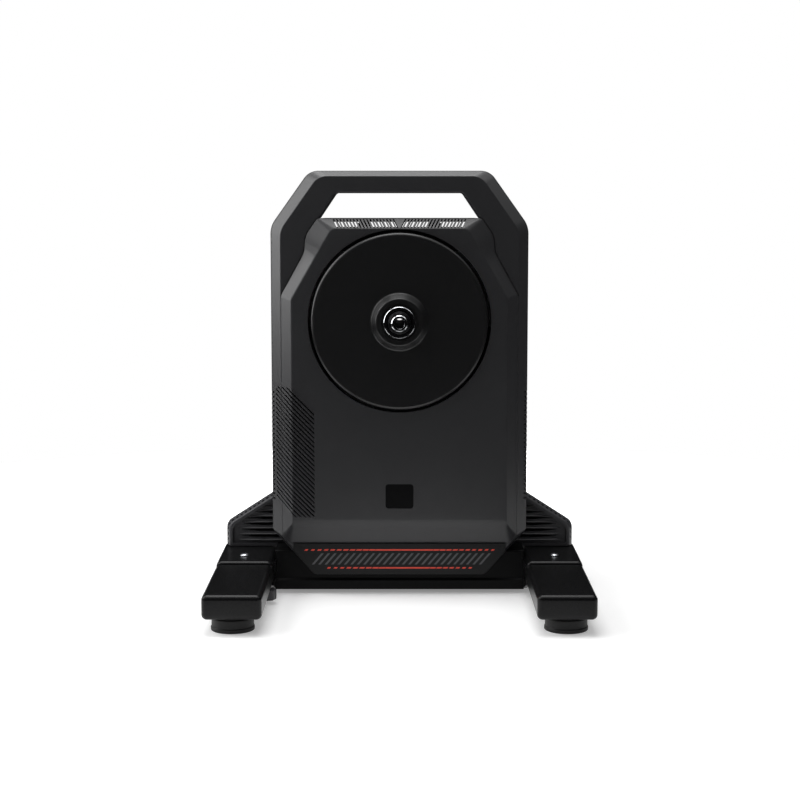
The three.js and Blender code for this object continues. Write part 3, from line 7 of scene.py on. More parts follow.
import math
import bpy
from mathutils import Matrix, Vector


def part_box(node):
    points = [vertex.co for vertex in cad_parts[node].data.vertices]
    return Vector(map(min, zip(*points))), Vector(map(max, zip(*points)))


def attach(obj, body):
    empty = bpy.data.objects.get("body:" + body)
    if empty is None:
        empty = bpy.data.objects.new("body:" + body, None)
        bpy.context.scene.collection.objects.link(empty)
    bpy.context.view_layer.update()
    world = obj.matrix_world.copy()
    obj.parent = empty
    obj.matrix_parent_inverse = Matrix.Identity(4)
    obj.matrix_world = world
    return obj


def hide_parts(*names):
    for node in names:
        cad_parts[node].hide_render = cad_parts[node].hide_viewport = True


bl_info = {
    "name": "Direct Drive Bike Trainer",
    "version": (1, 0, 0),
    "blender": (4, 5, 0),
    "location": "3D View > Sidebar > Trainer",
    "description": "Builds the shells, turned parts, base and finishes of a bike trainer on its CAD frame",
    "category": "Object",
}

import bpy
import numpy as np
from mathutils import Vector

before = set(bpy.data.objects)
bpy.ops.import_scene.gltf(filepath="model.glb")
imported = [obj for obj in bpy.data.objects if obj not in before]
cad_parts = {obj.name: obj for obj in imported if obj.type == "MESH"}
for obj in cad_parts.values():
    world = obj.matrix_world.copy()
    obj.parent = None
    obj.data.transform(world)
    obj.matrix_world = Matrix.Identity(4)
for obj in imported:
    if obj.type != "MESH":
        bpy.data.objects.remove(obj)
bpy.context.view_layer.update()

MILLIMETRE = 0.001
TURN = 2 * math.pi


def linear(code):
    """An sRGB hex colour as linear values: a straight line near black, else a power of 2.4."""
    rgb = np.array([int(code[i:i + 2], 16) for i in (1, 3, 5)]) / 255
    return tuple(np.where(rgb <= 0.04045, rgb / 12.92, ((rgb + 0.055) / 1.055) ** 2.4).tolist())


def span(node):
    """Lowest and highest corner of a CAD node in millimetres."""
    low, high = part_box(node)
    return np.array(low) / MILLIMETRE, np.array(high) / MILLIMETRE


# Places that the shells share, in millimetres

# The frame: its axle's height, the depth of its planes and of its side wall's edges
AXLE = sum(span("main_axle"))[2] / 2
PLANE = 22.5
SIDE_DEPTH = 10.0
# Clearance between fixed pieces, and each half's share of it where two halves meet
GAP = 0.3
HALF_GAP = 0.15
# The covers: faces, the depth where they lie on the frame, the roof's crests, wall, disc's opening
FACE = -35.0
REAR_FACE = 27.0
SEAT = 22.8
ROOF_CREST = -15.3
REAR_CREST = 15.0
WALL = 2.5
OPENING = 110.2
THROAT_FLOOR = 430.0
ROOF_POSTS = [(-43, 452), (43, 452)]
BADGE_DEPTH = 0.9
# Outside the whole body, for cutters
ABOVE = 530
BESIDE = 200
# Half widths of the body, of its front plane, of a cover's foot and of its face
BODY_HALF = 156.5
PLANE_HALF = 143.8
FOOT_HALF = 143.5
FACE_HALF = 130.5
# Slots and print
VENT_PITCH = 4.03
VENT_SLOT = 1.8
GRILLE_PITCH = 5.7
GRILLE_SLOT = 2.6
PRINT_PITCH = 7.9
PRINT_FRONT = -24.72
# Radius of the wheel axle's bore
BORE = 6.15
# The base's right half: blocks and legs across, their heights, the seam between them, the hinge
# pin with its tongue, and the foot
BLOCK_IN = 154
BLOCK_OUT = 222
BLOCK_HEIGHTS = (21, 49.5)
LEG_HEIGHTS = (18.2, 46.7)
LEG_END = 230
BAR_EDGE = 6
SEAM = 62.0
HALF_SEAM = 1.5
PIN_X = 161.0
PIN_Y = 69.0
PIN_HOLE = 4.3
TONGUE_RADIUS = 6.6
TONGUE_HEIGHTS = (30.5, 40)
FOOT_PLACE = (189.5, 195)
# The beam's spigot in a block: lowest and highest y, lowest and highest z, and its end on x
SPIGOT = np.array([-36, 44, 28, 42.5])
SPIGOT_END = 208
# The hood's depths, where its rounding ends, and the inlet and lamp in its back
HOOD_FRONT = 32
HOOD_ROUND = 43
HOOD_BACK = 96
FITTING_X = 70
FITTING_Z = 76


def side_name(side):
    """Left for -1 and right for 1."""
    return "left" if side < 0 else "right"


def corner_name(side, end):
    """A corner of the base: near for end -1 and far for 1, with its side."""
    return f"{'near' if end < 0 else 'far'}_{side_name(side)}"


def mirrored(right_half):
    """A right half of x, z, radius rows, bottom to top, completed with its mirror image."""
    half = np.array(right_half, float)
    return np.vstack([half, half[::-1] * [-1, 1, 1]])


BODY = mirrored([(106, 23, 12), (BODY_HALF, 79.5, 10), (BODY_HALF, 452.5, 30), (109, 519, 21)])
CHAMFERS = np.array([5, 12.7, 13, 6.5, 13, 12.7, 5, 3.0])
CAVITY = mirrored([
    (92, 68, 5), (133, 109, 5), (133, 364, 5), (99, 422, 5), (113, 437, 5), (76, 492, 5),
])
FACE_RING = mirrored([(129.5, 96, 1.2), (FACE_HALF, 97, 1.2), (FACE_HALF, 365, 12), (81.5, 450, 12)])
FOOT_RING = mirrored([(135.3, 65, 2), (FOOT_HALF, 73.2, 3), (FOOT_HALF, 369.5, 12), (89.2, 462, 12)])
SHOULDERED_FACE = mirrored([
    (129.5, 91, 1.2), (FACE_HALF, 92, 1.2), (FACE_HALF, 365, 12), (104.02, 411.52, 1500),
    (93.32, 429.92, 2500), (81.5, 450, 12),
])
SHOULDERED_FOOT = mirrored([
    (135.3, 65, 13), (FOOT_HALF, 73.2, 13), (FOOT_HALF, 369.5, 12), (115, 421, 28),
    (113.6, 441, 28), (99, 462, 5),
])
VENT_AREA = np.array([
    (-150.8, 123), (-126.8, 99), (-103.4, 99), (-103.4, 229), (-131.3, 258), (-150.8, 258),
])
HOUSING = mirrored([(218.5, 50.3, 1.5), (218.5, 80, 14), (110, 150, 14)])
HOOD_OPEN = np.array([1, 1, 1, 1, 1, 0.0])
HOOD_TAPER = np.array([4, 9, 9, 9, 4, 0.0])


# Shapes: each is an array of points and a list of faces


def moved_edges(corners, insets):
    """Corners of a ring whose edges move inwards, each by its own distance.

    An edge's inward normal is its direction turned a quarter to the left. A corner moves by the
    vector whose products with the normals of its two edges are their two distances.
    """
    points = corners[:, :2]
    along = np.roll(points, -1, 0) - points
    along /= np.linalg.norm(along, axis=1, keepdims=True)
    normals = np.stack([-along[:, 1], along[:, 0]], 1)
    insets = np.broadcast_to(np.asarray(insets, float), (len(points),))
    pairs = np.stack([np.roll(normals, 1, 0), normals], 1)
    reach = np.stack([np.roll(insets, 1), insets], 1)
    return points + np.linalg.solve(pairs, reach[..., None])[..., 0]


def rounded_ring(corners, insets=0.0, steps=6):
    """Ring of points whose corners are circle arcs, as conics with weight sin(half the corner's angle).

    The arc leaves the side at radius / tan(half) from the corner.
    """
    here = moved_edges(corners, insets)
    back = np.roll(here, 1, 0) - here
    onward = np.roll(here, -1, 0) - here
    back /= np.linalg.norm(back, axis=1, keepdims=True)
    onward /= np.linalg.norm(onward, axis=1, keepdims=True)
    half = np.arccos(np.clip((back * onward).sum(1), -1, 1)) / 2
    reach = (corners[:, 2] / np.tan(half))[:, None]
    start, end = here + back * reach, here + onward * reach
    t = np.linspace(0, 1, steps + 1)[None, :, None]
    weight = np.sin(half)[:, None, None]
    a, b, c = (1 - t) ** 2, 2 * t * (1 - t) * weight, t ** 2
    arc = (a * start[:, None] + b * here[:, None] + c * end[:, None]) / (a + b + c)
    return arc.reshape(-1, 2)


def at_depth(ring, y):
    """A ring of x, z points set upright at depth y."""
    return np.stack([ring[:, 0], np.full(len(ring), float(y)), ring[:, 1]], 1)


def at_height(ring, z):
    """A ring of x, y points laid flat at height z."""
    return np.stack([ring[:, 0], ring[:, 1], np.full(len(ring), float(z))], 1)


def eased(stations, reaches, steps=5, closed=False):
    """A path of stations whose bends become short conic arcs.

    At a bend the arc leaves the leg before at `reach` from the station and joins the leg after at
    the same distance, at most half a leg away. A station can be one point or a whole ring, whose
    points each have their own reach or share one.
    """
    stations = [np.atleast_2d(np.asarray(s, float)) for s in stations]
    count = len(stations)
    t = np.linspace(0, 1, steps + 1)[:, None, None]
    a, b, c = (1 - t) ** 2, 1.45 * t * (1 - t), t ** 2
    levels = []
    for i, here in enumerate(stations):
        inner = closed or 0 < i < count - 1
        if not inner or np.max(reaches[i]) <= 0:
            levels.append(here[None])
            continue
        ends = []
        for leg in (stations[i - 1] - here, stations[(i + 1) % count] - here):
            size = np.maximum(np.linalg.norm(leg, axis=1, keepdims=True), 1e-6)
            reach = np.reshape(reaches[i], (-1, 1))
            ends.append(here + leg * np.minimum(reach / size, 0.49))
        levels.append((a * ends[0] + b * here + c * ends[1]) / (a + b + c))
    return np.concatenate(levels)


def outward(points, faces):
    """Faces turned so that the volume, the sum of fan tetrahedra over all faces, is positive."""
    volume = 0.0
    for size in {len(face) for face in faces}:
        corners = points[np.array([face for face in faces if len(face) == size])]
        for k in range(1, size - 1):
            volume += np.einsum(
                "ij,ij->i", corners[:, 0], np.cross(corners[:, k], corners[:, k + 1])).sum()
    return points, (faces if volume > 0 else [face[::-1] for face in faces])


def skin(points, wrap_rows=False):
    """Quads between the neighbours of a grid of points whose columns close round."""
    rows, columns = points.shape[:2]
    r = np.arange(rows if wrap_rows else rows - 1)[:, None]
    c = np.arange(columns)[None, :]
    r2, c2 = (r + 1) % rows, (c + 1) % columns
    quads = np.stack(np.broadcast_arrays(
        r * columns + c, r * columns + c2, r2 * columns + c2, r2 * columns + c), -1)
    return quads.reshape(-1, 4).tolist()


def loft(points, wrap_rows=False):
    """Closed skin over rings of points, with a cap on both end rings unless they join up."""
    rows, columns = points.shape[:2]
    faces = skin(points, wrap_rows)
    if not wrap_rows:
        faces.append(list(range(columns))[::-1])
        faces.append(list(range((rows - 1) * columns, rows * columns)))
    return outward(points.reshape(-1, 3), faces)


def poled(points, first, last):
    """Closed skin over rings of points that ends in a fan of triangles round one point at each end."""
    rows, columns = points.shape[:2]
    near = np.arange(columns)
    far = (near + 1) % columns
    base = (rows - 1) * columns
    fans = np.concatenate([
        np.stack([np.full(columns, rows * columns), far, near], 1),
        np.stack([np.full(columns, rows * columns + 1), base + near, base + far], 1),
    ])
    return outward(np.vstack([points.reshape(-1, 3), first, last]), skin(points) + fans.tolist())


def merged(*shapes):
    """Several shapes as one: their points one after another, with the faces' numbers moved on."""
    points, faces, start = [], [], 0
    for shape_points, shape_faces in shapes:
        points.append(shape_points)
        faces += [[start + i for i in face] for face in shape_faces]
        start += len(shape_points)
    return np.concatenate(points), faces


def prism(ring, y0, y1):
    """A ring of x, z points pushed along Y from y0 to y1."""
    return loft(np.stack([at_depth(ring, y0), at_depth(ring, y1)]))


def upright(ring, z0, z1):
    """A ring of x, y points pushed along Z from z0 to z1."""
    return loft(np.stack([at_height(ring, z0), at_height(ring, z1)]))


def block(x0, x1, y0, y1, z0, z1):
    """A rectangular block between two places on each axis, on X and Y in either order."""
    x0, x1 = sorted((x0, x1))
    y0, y1 = sorted((y0, y1))
    return prism(np.array([(x0, z0), (x1, z0), (x1, z1), (x0, z1)], float), y0, y1)


def circle(radius, x, other, count=48):
    """Points at equal angles: centre + radius * (cos, sin)."""
    angle = TURN * np.arange(count) / count
    return np.stack([x + radius * np.cos(angle), other + radius * np.sin(angle)], 1)


def turned(profile, x, other, axis="y", segments=96, lobes=None):
    """A profile of radius, place rows turned round Y through x, z or round Z through x, y.

    A point is centre + radius * (cos, sin) of the angle, at its place along the axis. A profile
    that ends where it starts is a ring; another starts and ends on the axis, at a pole. Lobes is
    a factor on the radius for each angle.
    """
    profile = np.asarray(profile, float).reshape(-1, np.shape(profile)[-1])
    ring = bool(np.allclose(profile[0], profile[-1]))
    rows = profile[:-1] if ring else profile[1:-1]
    angle = TURN * np.arange(segments) / segments
    radius = rows[:, :1] * (1 if lobes is None else lobes(angle))
    across = x + radius * np.cos(angle)
    second = other + radius * np.sin(angle)
    place = np.broadcast_to(rows[:, 1:2], across.shape)
    points = np.stack((across, place, second) if axis == "y" else (across, second, place), -1)
    if ring:
        return loft(points, wrap_rows=True)
    first, last = [(x, p, other) if axis == "y" else (x, other, p) for p in profile[[0, -1], 1]]
    return poled(points, first, last)


def profile(*rows, closed=True, steps=4):
    """A profile of radius, place, ease rows whose corners are eased by their third number."""
    rows = np.array(rows, float)
    eased_rows = eased([row[None, :2] for row in rows], rows[:, 2], steps, closed)[:, 0]
    return np.vstack([eased_rows, eased_rows[:1]]) if closed else eased_rows


def quarter(radius, steps=5):
    """A quarter round: at the angle t, radius * (1 - sin t) and radius * (1 - cos t)."""
    t = np.linspace(0, math.pi / 2, steps + 1)
    return radius * (1 - np.sin(t)), radius * (1 - np.cos(t))


def hole(radius, x, z, y0, y1, ease, segments=96):
    """Cutter for a round hole along Y whose rim at y0 comes out rounded."""
    wider, behind = quarter(ease)
    arc = np.stack([radius + wider, y0 + behind], 1)
    rows = np.vstack([(0, y0 - 1), (radius + ease, y0 - 1), arc, (radius, y1), (0, y1)])
    return turned(rows, x, z, segments=segments)


def opening(corners, y0, y1, ease):
    """Cutter for a hole along Y between y0 and y1, whose rims come out rounded on both sides."""
    wider, depth = quarter(ease)
    wider, depth = np.append(ease, wider), np.append(-1, depth)
    front = [at_depth(rounded_ring(corners, -w), y0 + d) for w, d in zip(wider, depth)]
    back = [at_depth(rounded_ring(corners, -w), y1 - d) for w, d in zip(wider, depth)]
    return loft(np.stack(front + back[::-1]))


def bar(x0, x1, y0, y1, z0, z1, edge, start, end, steps=6):
    """A bar along Y with a rounded rectangle for its section, whose ends round over."""
    x0, x1 = sorted((x0, x1))
    y0, y1 = sorted((y0, y1))
    (first, behind), (last, before) = quarter(start, steps), quarter(end, steps)
    places = np.concatenate([y0 + behind, (y1 - before)[::-1]])
    insets = np.concatenate([first, last[::-1]])
    corners = np.array([(x0, z0, 0), (x1, z0, 0), (x1, z1, 0), (x0, z1, 0)], float)
    rings = []
    for place, inset in zip(places, insets):
        corners[:, 2] = max(edge - inset, 0.05)
        rings.append(at_depth(rounded_ring(corners, inset), place))
    return loft(np.stack(rings))


# Meshes and pieces


def mesh_object(name, shape):
    """An object at the origin with its place in its mesh, in metres."""
    points, faces = shape
    mesh = bpy.data.meshes.new(name)
    mesh.from_pydata((np.asarray(points) * MILLIMETRE).tolist(), [], faces)
    mesh.update()
    thing = bpy.data.objects.new(name, mesh)
    bpy.context.scene.collection.objects.link(thing)
    return thing


def combine(thing, operation, shape):
    """Applies an exact boolean between a piece and a shape."""
    tool = mesh_object("tool", shape)
    modifier = thing.modifiers.new("combine", "BOOLEAN")
    modifier.operation = operation
    modifier.solver = "EXACT"
    modifier.object = tool
    graph = bpy.context.evaluated_depsgraph_get()
    result = bpy.data.meshes.new_from_object(thing.evaluated_get(graph))
    thing.modifiers.clear()
    old = thing.data
    thing.data = result
    result.name = thing.name
    bpy.data.meshes.remove(old)
    tool_mesh = tool.data
    bpy.data.objects.remove(tool)
    bpy.data.meshes.remove(tool_mesh)
    if not len(thing.data.polygons):
        raise RuntimeError(f"{thing.name}: nothing is left after {operation.lower()}")


def cut(thing, *shapes):
    """Cuts shapes, taken together, from a piece."""
    combine(thing, "DIFFERENCE", merged(*shapes))


def join(thing, *shapes):
    """Joins shapes, taken together, to a piece."""
    combine(thing, "UNION", merged(*shapes))


def keep(thing, shape):
    """Keeps only what a piece and a shape share."""
    combine(thing, "INTERSECT", shape)


def dress(thing, finishes, body, slot, *nodes, sharp=32):
    """Completes a piece: smooth faces with true edges kept, finishes by name and its body. The slot is not
    used.
    """
    mesh = thing.data
    mesh.polygons.foreach_set("use_smooth", np.ones(len(mesh.polygons), bool))
    mesh.set_sharp_from_angle(angle=math.radians(sharp))
    mesh.materials.clear()
    for name in finishes.split():
        mesh.materials.append(finish(name))
    weighted = thing.modifiers.new("weighted", "WEIGHTED_NORMAL")
    weighted.keep_sharp = True
    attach(thing, body)
    if nodes:
        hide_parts(*nodes)
    return thing


def paint_faces(thing, index, test):
    """Gives the faces whose middle, in millimetres, and normal pass a test the material of that number."""
    mesh = thing.data
    middles = np.empty(len(mesh.polygons) * 3, np.float32)
    normals = np.empty(len(mesh.polygons) * 3, np.float32)
    mesh.polygons.foreach_get("center", middles)
    mesh.polygons.foreach_get("normal", normals)
    chosen = test(middles.reshape(-1, 3) / MILLIMETRE, normals.reshape(-1, 3))
    numbers = np.zeros(len(mesh.polygons), np.int32)
    mesh.polygons.foreach_get("material_index", numbers)
    numbers[chosen] = index
    mesh.polygons.foreach_set("material_index", numbers)
    mesh.update()


# Materials


def add(tree, kind, inputs=None, **settings):
    """Adds a node with its settings, and links or sets its inputs by name or number."""
    node = tree.nodes.new(kind)
    for name, value in settings.items():
        setattr(node, name, value)
    for socket, value in (inputs or {}).items():
        if isinstance(value, bpy.types.NodeSocket):
            tree.links.new(value, node.inputs[socket])
        else:
            node.inputs[socket].default_value = value
    return node


def blank(name):
    """A material with an empty node tree and its output."""
    material = bpy.data.materials.new(name)
    material.use_nodes = True
    tree = material.node_tree
    tree.nodes.clear()
    return material, tree, add(tree, "ShaderNodeOutputMaterial")


def noise(tree, place, size, detail, roughness=0.5):
    """A noise whose coarsest features are of a size in millimetres."""
    return add(tree, "ShaderNodeTexNoise", {
        "Vector": place, "Scale": 1 / (size * MILLIMETRE), "Detail": detail, "Roughness": roughness,
    }).outputs["Fac"]


def surface(tree, output, colour, height, depth, wear, roughness, sockets):
    """A shader whose relief follows one noise and whose roughness, a middle and reach, another."""
    middle, reach = roughness
    polish = add(tree, "ShaderNodeMapRange", {
        "Value": wear, "From Min": 0.3, "From Max": 0.7,
        "To Min": middle - reach, "To Max": middle + reach})
    relief = add(tree, "ShaderNodeBump", {
        "Height": height, "Strength": 1.0, "Distance": depth * MILLIMETRE})
    shader = add(tree, "ShaderNodeBsdfPrincipled", {
        "Base Color": colour, "Roughness": polish.outputs["Result"],
        "Normal": relief.outputs["Normal"], **sockets})
    tree.links.new(shader.outputs["BSDF"], output.inputs["Surface"])


def grained(name, colour, roughness, grain, depth, mottle=0.12, **sockets):
    """A moulded or coated surface: a fine raised grain over a slightly uneven colour.

    Grain and depth are in millimetres. The colour drifts by `mottle`, a share of it, over
    patches of 60 mm, and the roughness by 0.05 over the grain.
    """
    material, tree, output = blank(name)
    place = add(tree, "ShaderNodeTexCoord").outputs["Object"]
    fine = noise(tree, place, grain, 2.0, 0.6)
    shade = add(tree, "ShaderNodeMix", {
        0: noise(tree, place, 60, 3.0, 0.55), 6: (*[c * (1 - mottle) for c in colour], 1),
        7: (*[c * (1 + mottle) for c in colour], 1)}, data_type="RGBA")
    surface(tree, output, shade.outputs[2], fine, depth, fine, (roughness, 0.05), sockets)
    return material


def machined(name, colour, roughness, pitch, depth, centre=None, metallic=1.0, **sockets):
    """A turned, ground or brushed metal: fine lines round its axis, or along X where it has none.

    The lines are a noise that is stretched along the tool's path: its coordinate is the distance
    from the axis through `centre`, x and z in millimetres, and the depth along it.
    """
    material, tree, output = blank(name)
    place = add(tree, "ShaderNodeTexCoord").outputs["Object"]
    if centre is None:
        lines = add(tree, "ShaderNodeMapping", {"Vector": place, "Scale": (0.02, 1.0, 1.0)}).outputs[0]
    else:
        shifted = add(tree, "ShaderNodeVectorMath", {
            0: place, 1: (centre[0] * MILLIMETRE, 0, centre[1] * MILLIMETRE)}, operation="SUBTRACT")
        split = add(tree, "ShaderNodeSeparateXYZ", {"Vector": shifted.outputs[0]})
        flat = add(tree, "ShaderNodeCombineXYZ", {"X": split.outputs["X"], "Z": split.outputs["Z"]})
        radius = add(tree, "ShaderNodeVectorMath", {0: flat.outputs[0]}, operation="LENGTH")
        lines = add(tree, "ShaderNodeCombineXYZ", {
            "X": radius.outputs["Value"], "Y": split.outputs["Y"]}).outputs[0]
    surface(tree, output, (*colour, 1), noise(tree, lines, pitch, 2.0), depth,
            noise(tree, place, 25, 3.0), (roughness, 0.06), {"Metallic": metallic, **sockets})
    return material


SPECULAR = "Specular IOR Level"
# Axes of the turned metals: x and z in millimetres
ON_AXLE = (0, AXLE)
ON_FLYWHEEL = (0, 165)

# Each finish: its maker, the setting that holds its colour, the maker's values in their order and
# other sockets of the shader
MAKERS = {
    # Impact-resistant ABS from a spark-eroded mould: an even satin grain of about 0.3 mm, drawn
    # at 0.6 mm because the real one is finer than the render shows.
    "textured_abs": (grained, "shell", (0.38, 0.6, 0.01), {}),
    # The same ABS from a mould with a finer grain: darker, with a closer sheen.
    "satin_abs": (grained, "disc", (0.32, 0.4, 0.004, 0.06), {}),
    # The same ABS etched matt, so that the print on it shows.
    "matt_abs": (grained, "disc", (0.5, 0.5, 0.01, 0.06), {SPECULAR: 0.22}),
    # Glass-filled nylon from an eroded mould: coarser and a little drier.
    "filled_nylon": (grained, "housing", (0.5, 0.8, 0.014), {}),
    # Steel with a baked powder coat: a low orange peel of about 1 mm.
    "powder_coated_steel": (grained, "coat", (0.3, 1.1, 0.008, 0.06), {SPECULAR: 0.2}),
    # The beam's coat: a darker, duller copy of the legs' coat, painted shade for its place under the body.
    "dull_coated_steel": (grained, "screen", (0.5, 1.1, 0.008, 0.06), {SPECULAR: 0.1}),
    # Moulded natural rubber: matt, with the skin of the mould.
    "moulded_rubber": (grained, "rubber", (0.55, 0.5, 0.01, 0.1), {SPECULAR: 0.3}),
    # A plain black sheet behind the vents: painted shade inside them.
    "black_screen": (grained, "screen", (0.9, 0.8, 0.05, 0.2), {SPECULAR: 0.1}),
    # Smooth dark insert, pressed into its recess.
    "gloss_insert": (grained, "insert", (0.35, 0.5, 0.002, 0.03), {SPECULAR: 0.08}),
    # Aluminium turned on a lathe and dyed black: fine rings under a hard dark skin.
    "black_anodised": (machined, "anodised", (0.24, 0.35, 0.004, ON_AXLE, 0.6), {}),
    # The same aluminium where its edges are cut bright after anodising.
    "bright_cut_aluminium": (machined, "aluminium", (0.22, 0.3, 0.004, ON_AXLE), {}),
    # Cast and machined aluminium plate.
    "milled_aluminium": (machined, "aluminium", (0.4, 0.8, 0.01), {}),
    # Steel with a clear zinc plating.
    "zinc_plated_steel": (machined, "zinc", (0.3, 0.6, 0.004), {}),
    # Hardened steel with a black oxide skin, oiled.
    "black_oxide_steel": (machined, "oxide", (0.36, 0.3, 0.005, ON_AXLE, 0.8), {}),
    # Grey iron, cast and turned.
    "turned_iron": (machined, "iron", (0.42, 0.5, 0.01, ON_FLYWHEEL), {}),
    # Enamelled copper wire in layers of about 0.8 mm.
    "copper_windings": (machined, "copper", (0.35, 0.8, 0.15), {}),
    # Glass laminate with a green solder mask.
    "solder_mask": (grained, "board", (0.35, 1.5, 0.01, 0.15), {}),
    # Clear acrylic lens over a small lamp.
    "clear_lens": (grained, "lens", (0.12, 2.0, 0.001, 0.02), {"Transmission Weight": 0.5, "IOR": 1.49}),
    # Pad-printed inks, a little glossier than the plate.
    "red_ink": (grained, "red", (0.45, 0.7, 0.004, 0.05), {}),
    "grey_ink": (grained, "grey", (0.5, 0.7, 0.004, 0.05), {}),
}
FINISHES = {}


def finish(name):
    """A finish by its name, made when it is first asked for."""
    if name not in FINISHES:
        maker, setting, values, sockets = MAKERS[name]
        colour = getattr(bpy.context.scene.trainer_colours, setting)
        FINISHES[name] = maker(name, colour, *values, **sockets)
    return FINISHES[name]


# The body's shells


def clip(gap, y0, y1, floor):
    """What a cover fills: a slab before or behind the frame, and the throat above a floor."""
    tool = mesh_object("clip", prism(rounded_ring(CAVITY, gap), -24, 24))
    keep(tool, block(-BESIDE, BESIDE, -40, 40, floor, ABOVE))
    join(tool, block(-BESIDE, BESIDE, y0, y1, 0, ABOVE))
    return taken(tool)


def taken(thing):
    """The shape of an object that is no longer needed, in millimetres."""
    mesh = thing.data
    points = np.empty(len(mesh.vertices) * 3, np.float32)
    mesh.vertices.foreach_get("co", points)
    faces = [list(face.vertices) for face in mesh.polygons]
    bpy.data.objects.remove(thing)
    bpy.data.meshes.remove(mesh)
    return points.reshape(-1, 3).astype(float) / MILLIMETRE, faces


def edge_insets(every, slant, top):
    """One inset for each edge of a cover's ring: its two slants and its top have their own."""
    return np.array([every, every, slant, top, slant, every, every, every], float)


def vent_slots():
    """Cutters for the slanted slots that run over the cover's edge and the frame's chamfer.

    Each slot is a section carried along a 45 degree line. The section's middle follows the
    surface, which is flat at the cover's face and falls back beyond it, and its mouth is wider
    by a chamfer of 0.15 mm. The lower ends rise to the face in a ramp of 45 degrees.
    """
    pitch = VENT_PITCH * math.sqrt(2)
    left, right = VENT_AREA[:, 0].min() - 1, VENT_AREA[:, 0].max() + 1
    lowest, highest = VENT_AREA[:, 1].min(), VENT_AREA[:, 1].max()
    count = int(math.ceil((highest - lowest + right - left) / pitch))
    top = highest + (right - left) - np.arange(count) * pitch
    x = np.array([left, -PLANE_HALF, -FACE_HALF, right])
    depths = [-SIDE_DEPTH, -PLANE, FACE, FACE]
    level = np.interp(x, [-BODY_HALF, -PLANE_HALF, -FACE_HALF, right], depths)
    half, chamfer, proud, deep = VENT_SLOT / 2, 0.15, 0.5, 6.0
    section = np.array([
        (-half - chamfer - proud, -proud), (half + chamfer + proud, -proud), (half, chamfer),
        (half, deep), (-half, deep), (-half, chamfer),
    ])
    across = section[:, 0] / math.sqrt(2)
    shapes = []
    for height in top:
        z = height - (x - left)
        points = np.stack([
            x[:, None] + across, level[:, None] + section[:, 1], z[:, None] + across], -1)
        shapes.append(loft(points))
    slots = mesh_object("slots", merged(*shapes))
    area = np.column_stack([VENT_AREA[::-1], np.full(len(VENT_AREA), 0.6)])
    foot = (area[:, 1:2] < 100) * np.array([0, 1, 0])
    lifts = ((-37, -2.6), (-33, 1.4), (0, 1.4))
    ramp = [at_depth(rounded_ring(area + foot * lift), y) for y, lift in lifts]
    keep(slots, loft(np.stack(ramp)))
    return taken(slots)


def roof_slots(y0, y1, count=19, pitch=4.0, width=1.9):
    """Cutters for the leaning slots in the slope under the handle, mirrored about the middle."""
    ring = np.array([(-0.8, 450.8), (width - 0.8, 450.8), (width + 4.6, 461.2), (4.6, 461.2)])
    shapes = []
    for start in (np.arange(count) + 0.5) * pitch:
        shapes.append(prism(ring + [start, 0], y0, y1))
        shapes.append(prism(ring * [-1, 1] - [start, 0], y0, y1))
    return merged(*shapes)


def grille_heights(bottom, top):
    """Heights of the slots in a side wall: the first is 2.2 mm above the bottom."""
    heights = bottom + 2.2 + GRILLE_PITCH * np.arange(25)
    return heights[heights < top]


def roof_posts(y0, y1):
    """The two posts by which the roof's halves stand on the bearing plate."""
    rows = [(0, y0), (8, y0), (8, y1), (0, y1)]
    return [turned(rows, x, z, segments=24) for x, z in ROOF_POSTS]


def carry_frame(slots):
    """The eight-sided ring with the handle in its top.

    It is lofted along Y: the front and rear planes are inset by the chamfers, and the side wall
    between them has the full outline. The cavity, the beam's seat, the vents and the notches of
    the side grilles are cut from it.
    """
    shape = bpy.context.scene.trainer_shape
    plane, outer = rounded_ring(BODY, CHAMFERS, 10), rounded_ring(BODY, 0, 10)
    inner = rounded_ring(BODY, CHAMFERS + 4, 10)
    stations = [
        at_depth(inner, -PLANE), at_depth(plane, -PLANE), at_depth(outer, -SIDE_DEPTH),
        at_depth(outer, SIDE_DEPTH), at_depth(plane, PLANE), at_depth(inner, PLANE),
    ]
    thing = mesh_object("carry_frame_shell", loft(eased(stations, [0, 0.8, 2.2, 2.2, 0.8, 0])))
    cut(thing, opening(CAVITY, -PLANE, PLANE, shape.grip_ease))
    cut(thing, block(-BLOCK_IN, BLOCK_IN, -12.3, 24, 22, 54.3))
    for side in (-1, 1):
        cut(thing, block(side * 130, side * 158, -8.3, 8.3, 115.7, 258.3))
    notches = [block(side * 152.8, side * 158, y0, y0 + 6, z, z + GRILLE_SLOT)
               for side in (-1, 1) for y0 in (-14.0, 8.0) for z in grille_heights(116, 255)]
    cut(thing, *notches)
    cut(thing, slots)
    outside, inside = rounded_ring(SHOULDERED_FOOT, -1.1, 8), rounded_ring(SHOULDERED_FOOT, 0.6, 8)
    groove = mesh_object("groove", loft(np.stack([
        at_depth(outside, -24), at_depth(outside, -20.8), at_depth(inside, -20.8),
        at_depth(inside, -24),
    ]), wrap_rows=True))
    keep(groove, block(-160, 160, -25, -20, 368, 470))
    cut(thing, taken(groove))
    lug = [(0, -12), (9, -12), (9, -3.1), (3, -3.1), (3, 3.2), (0, 3.2)]
    lugs = [turned(lug, x, z, segments=32) for x in (-126, 126) for z in (128, 236, 344)]
    join(thing, *lugs)
    dress(thing, "textured_abs", "base", "charcoal_shell", "carry_frame")


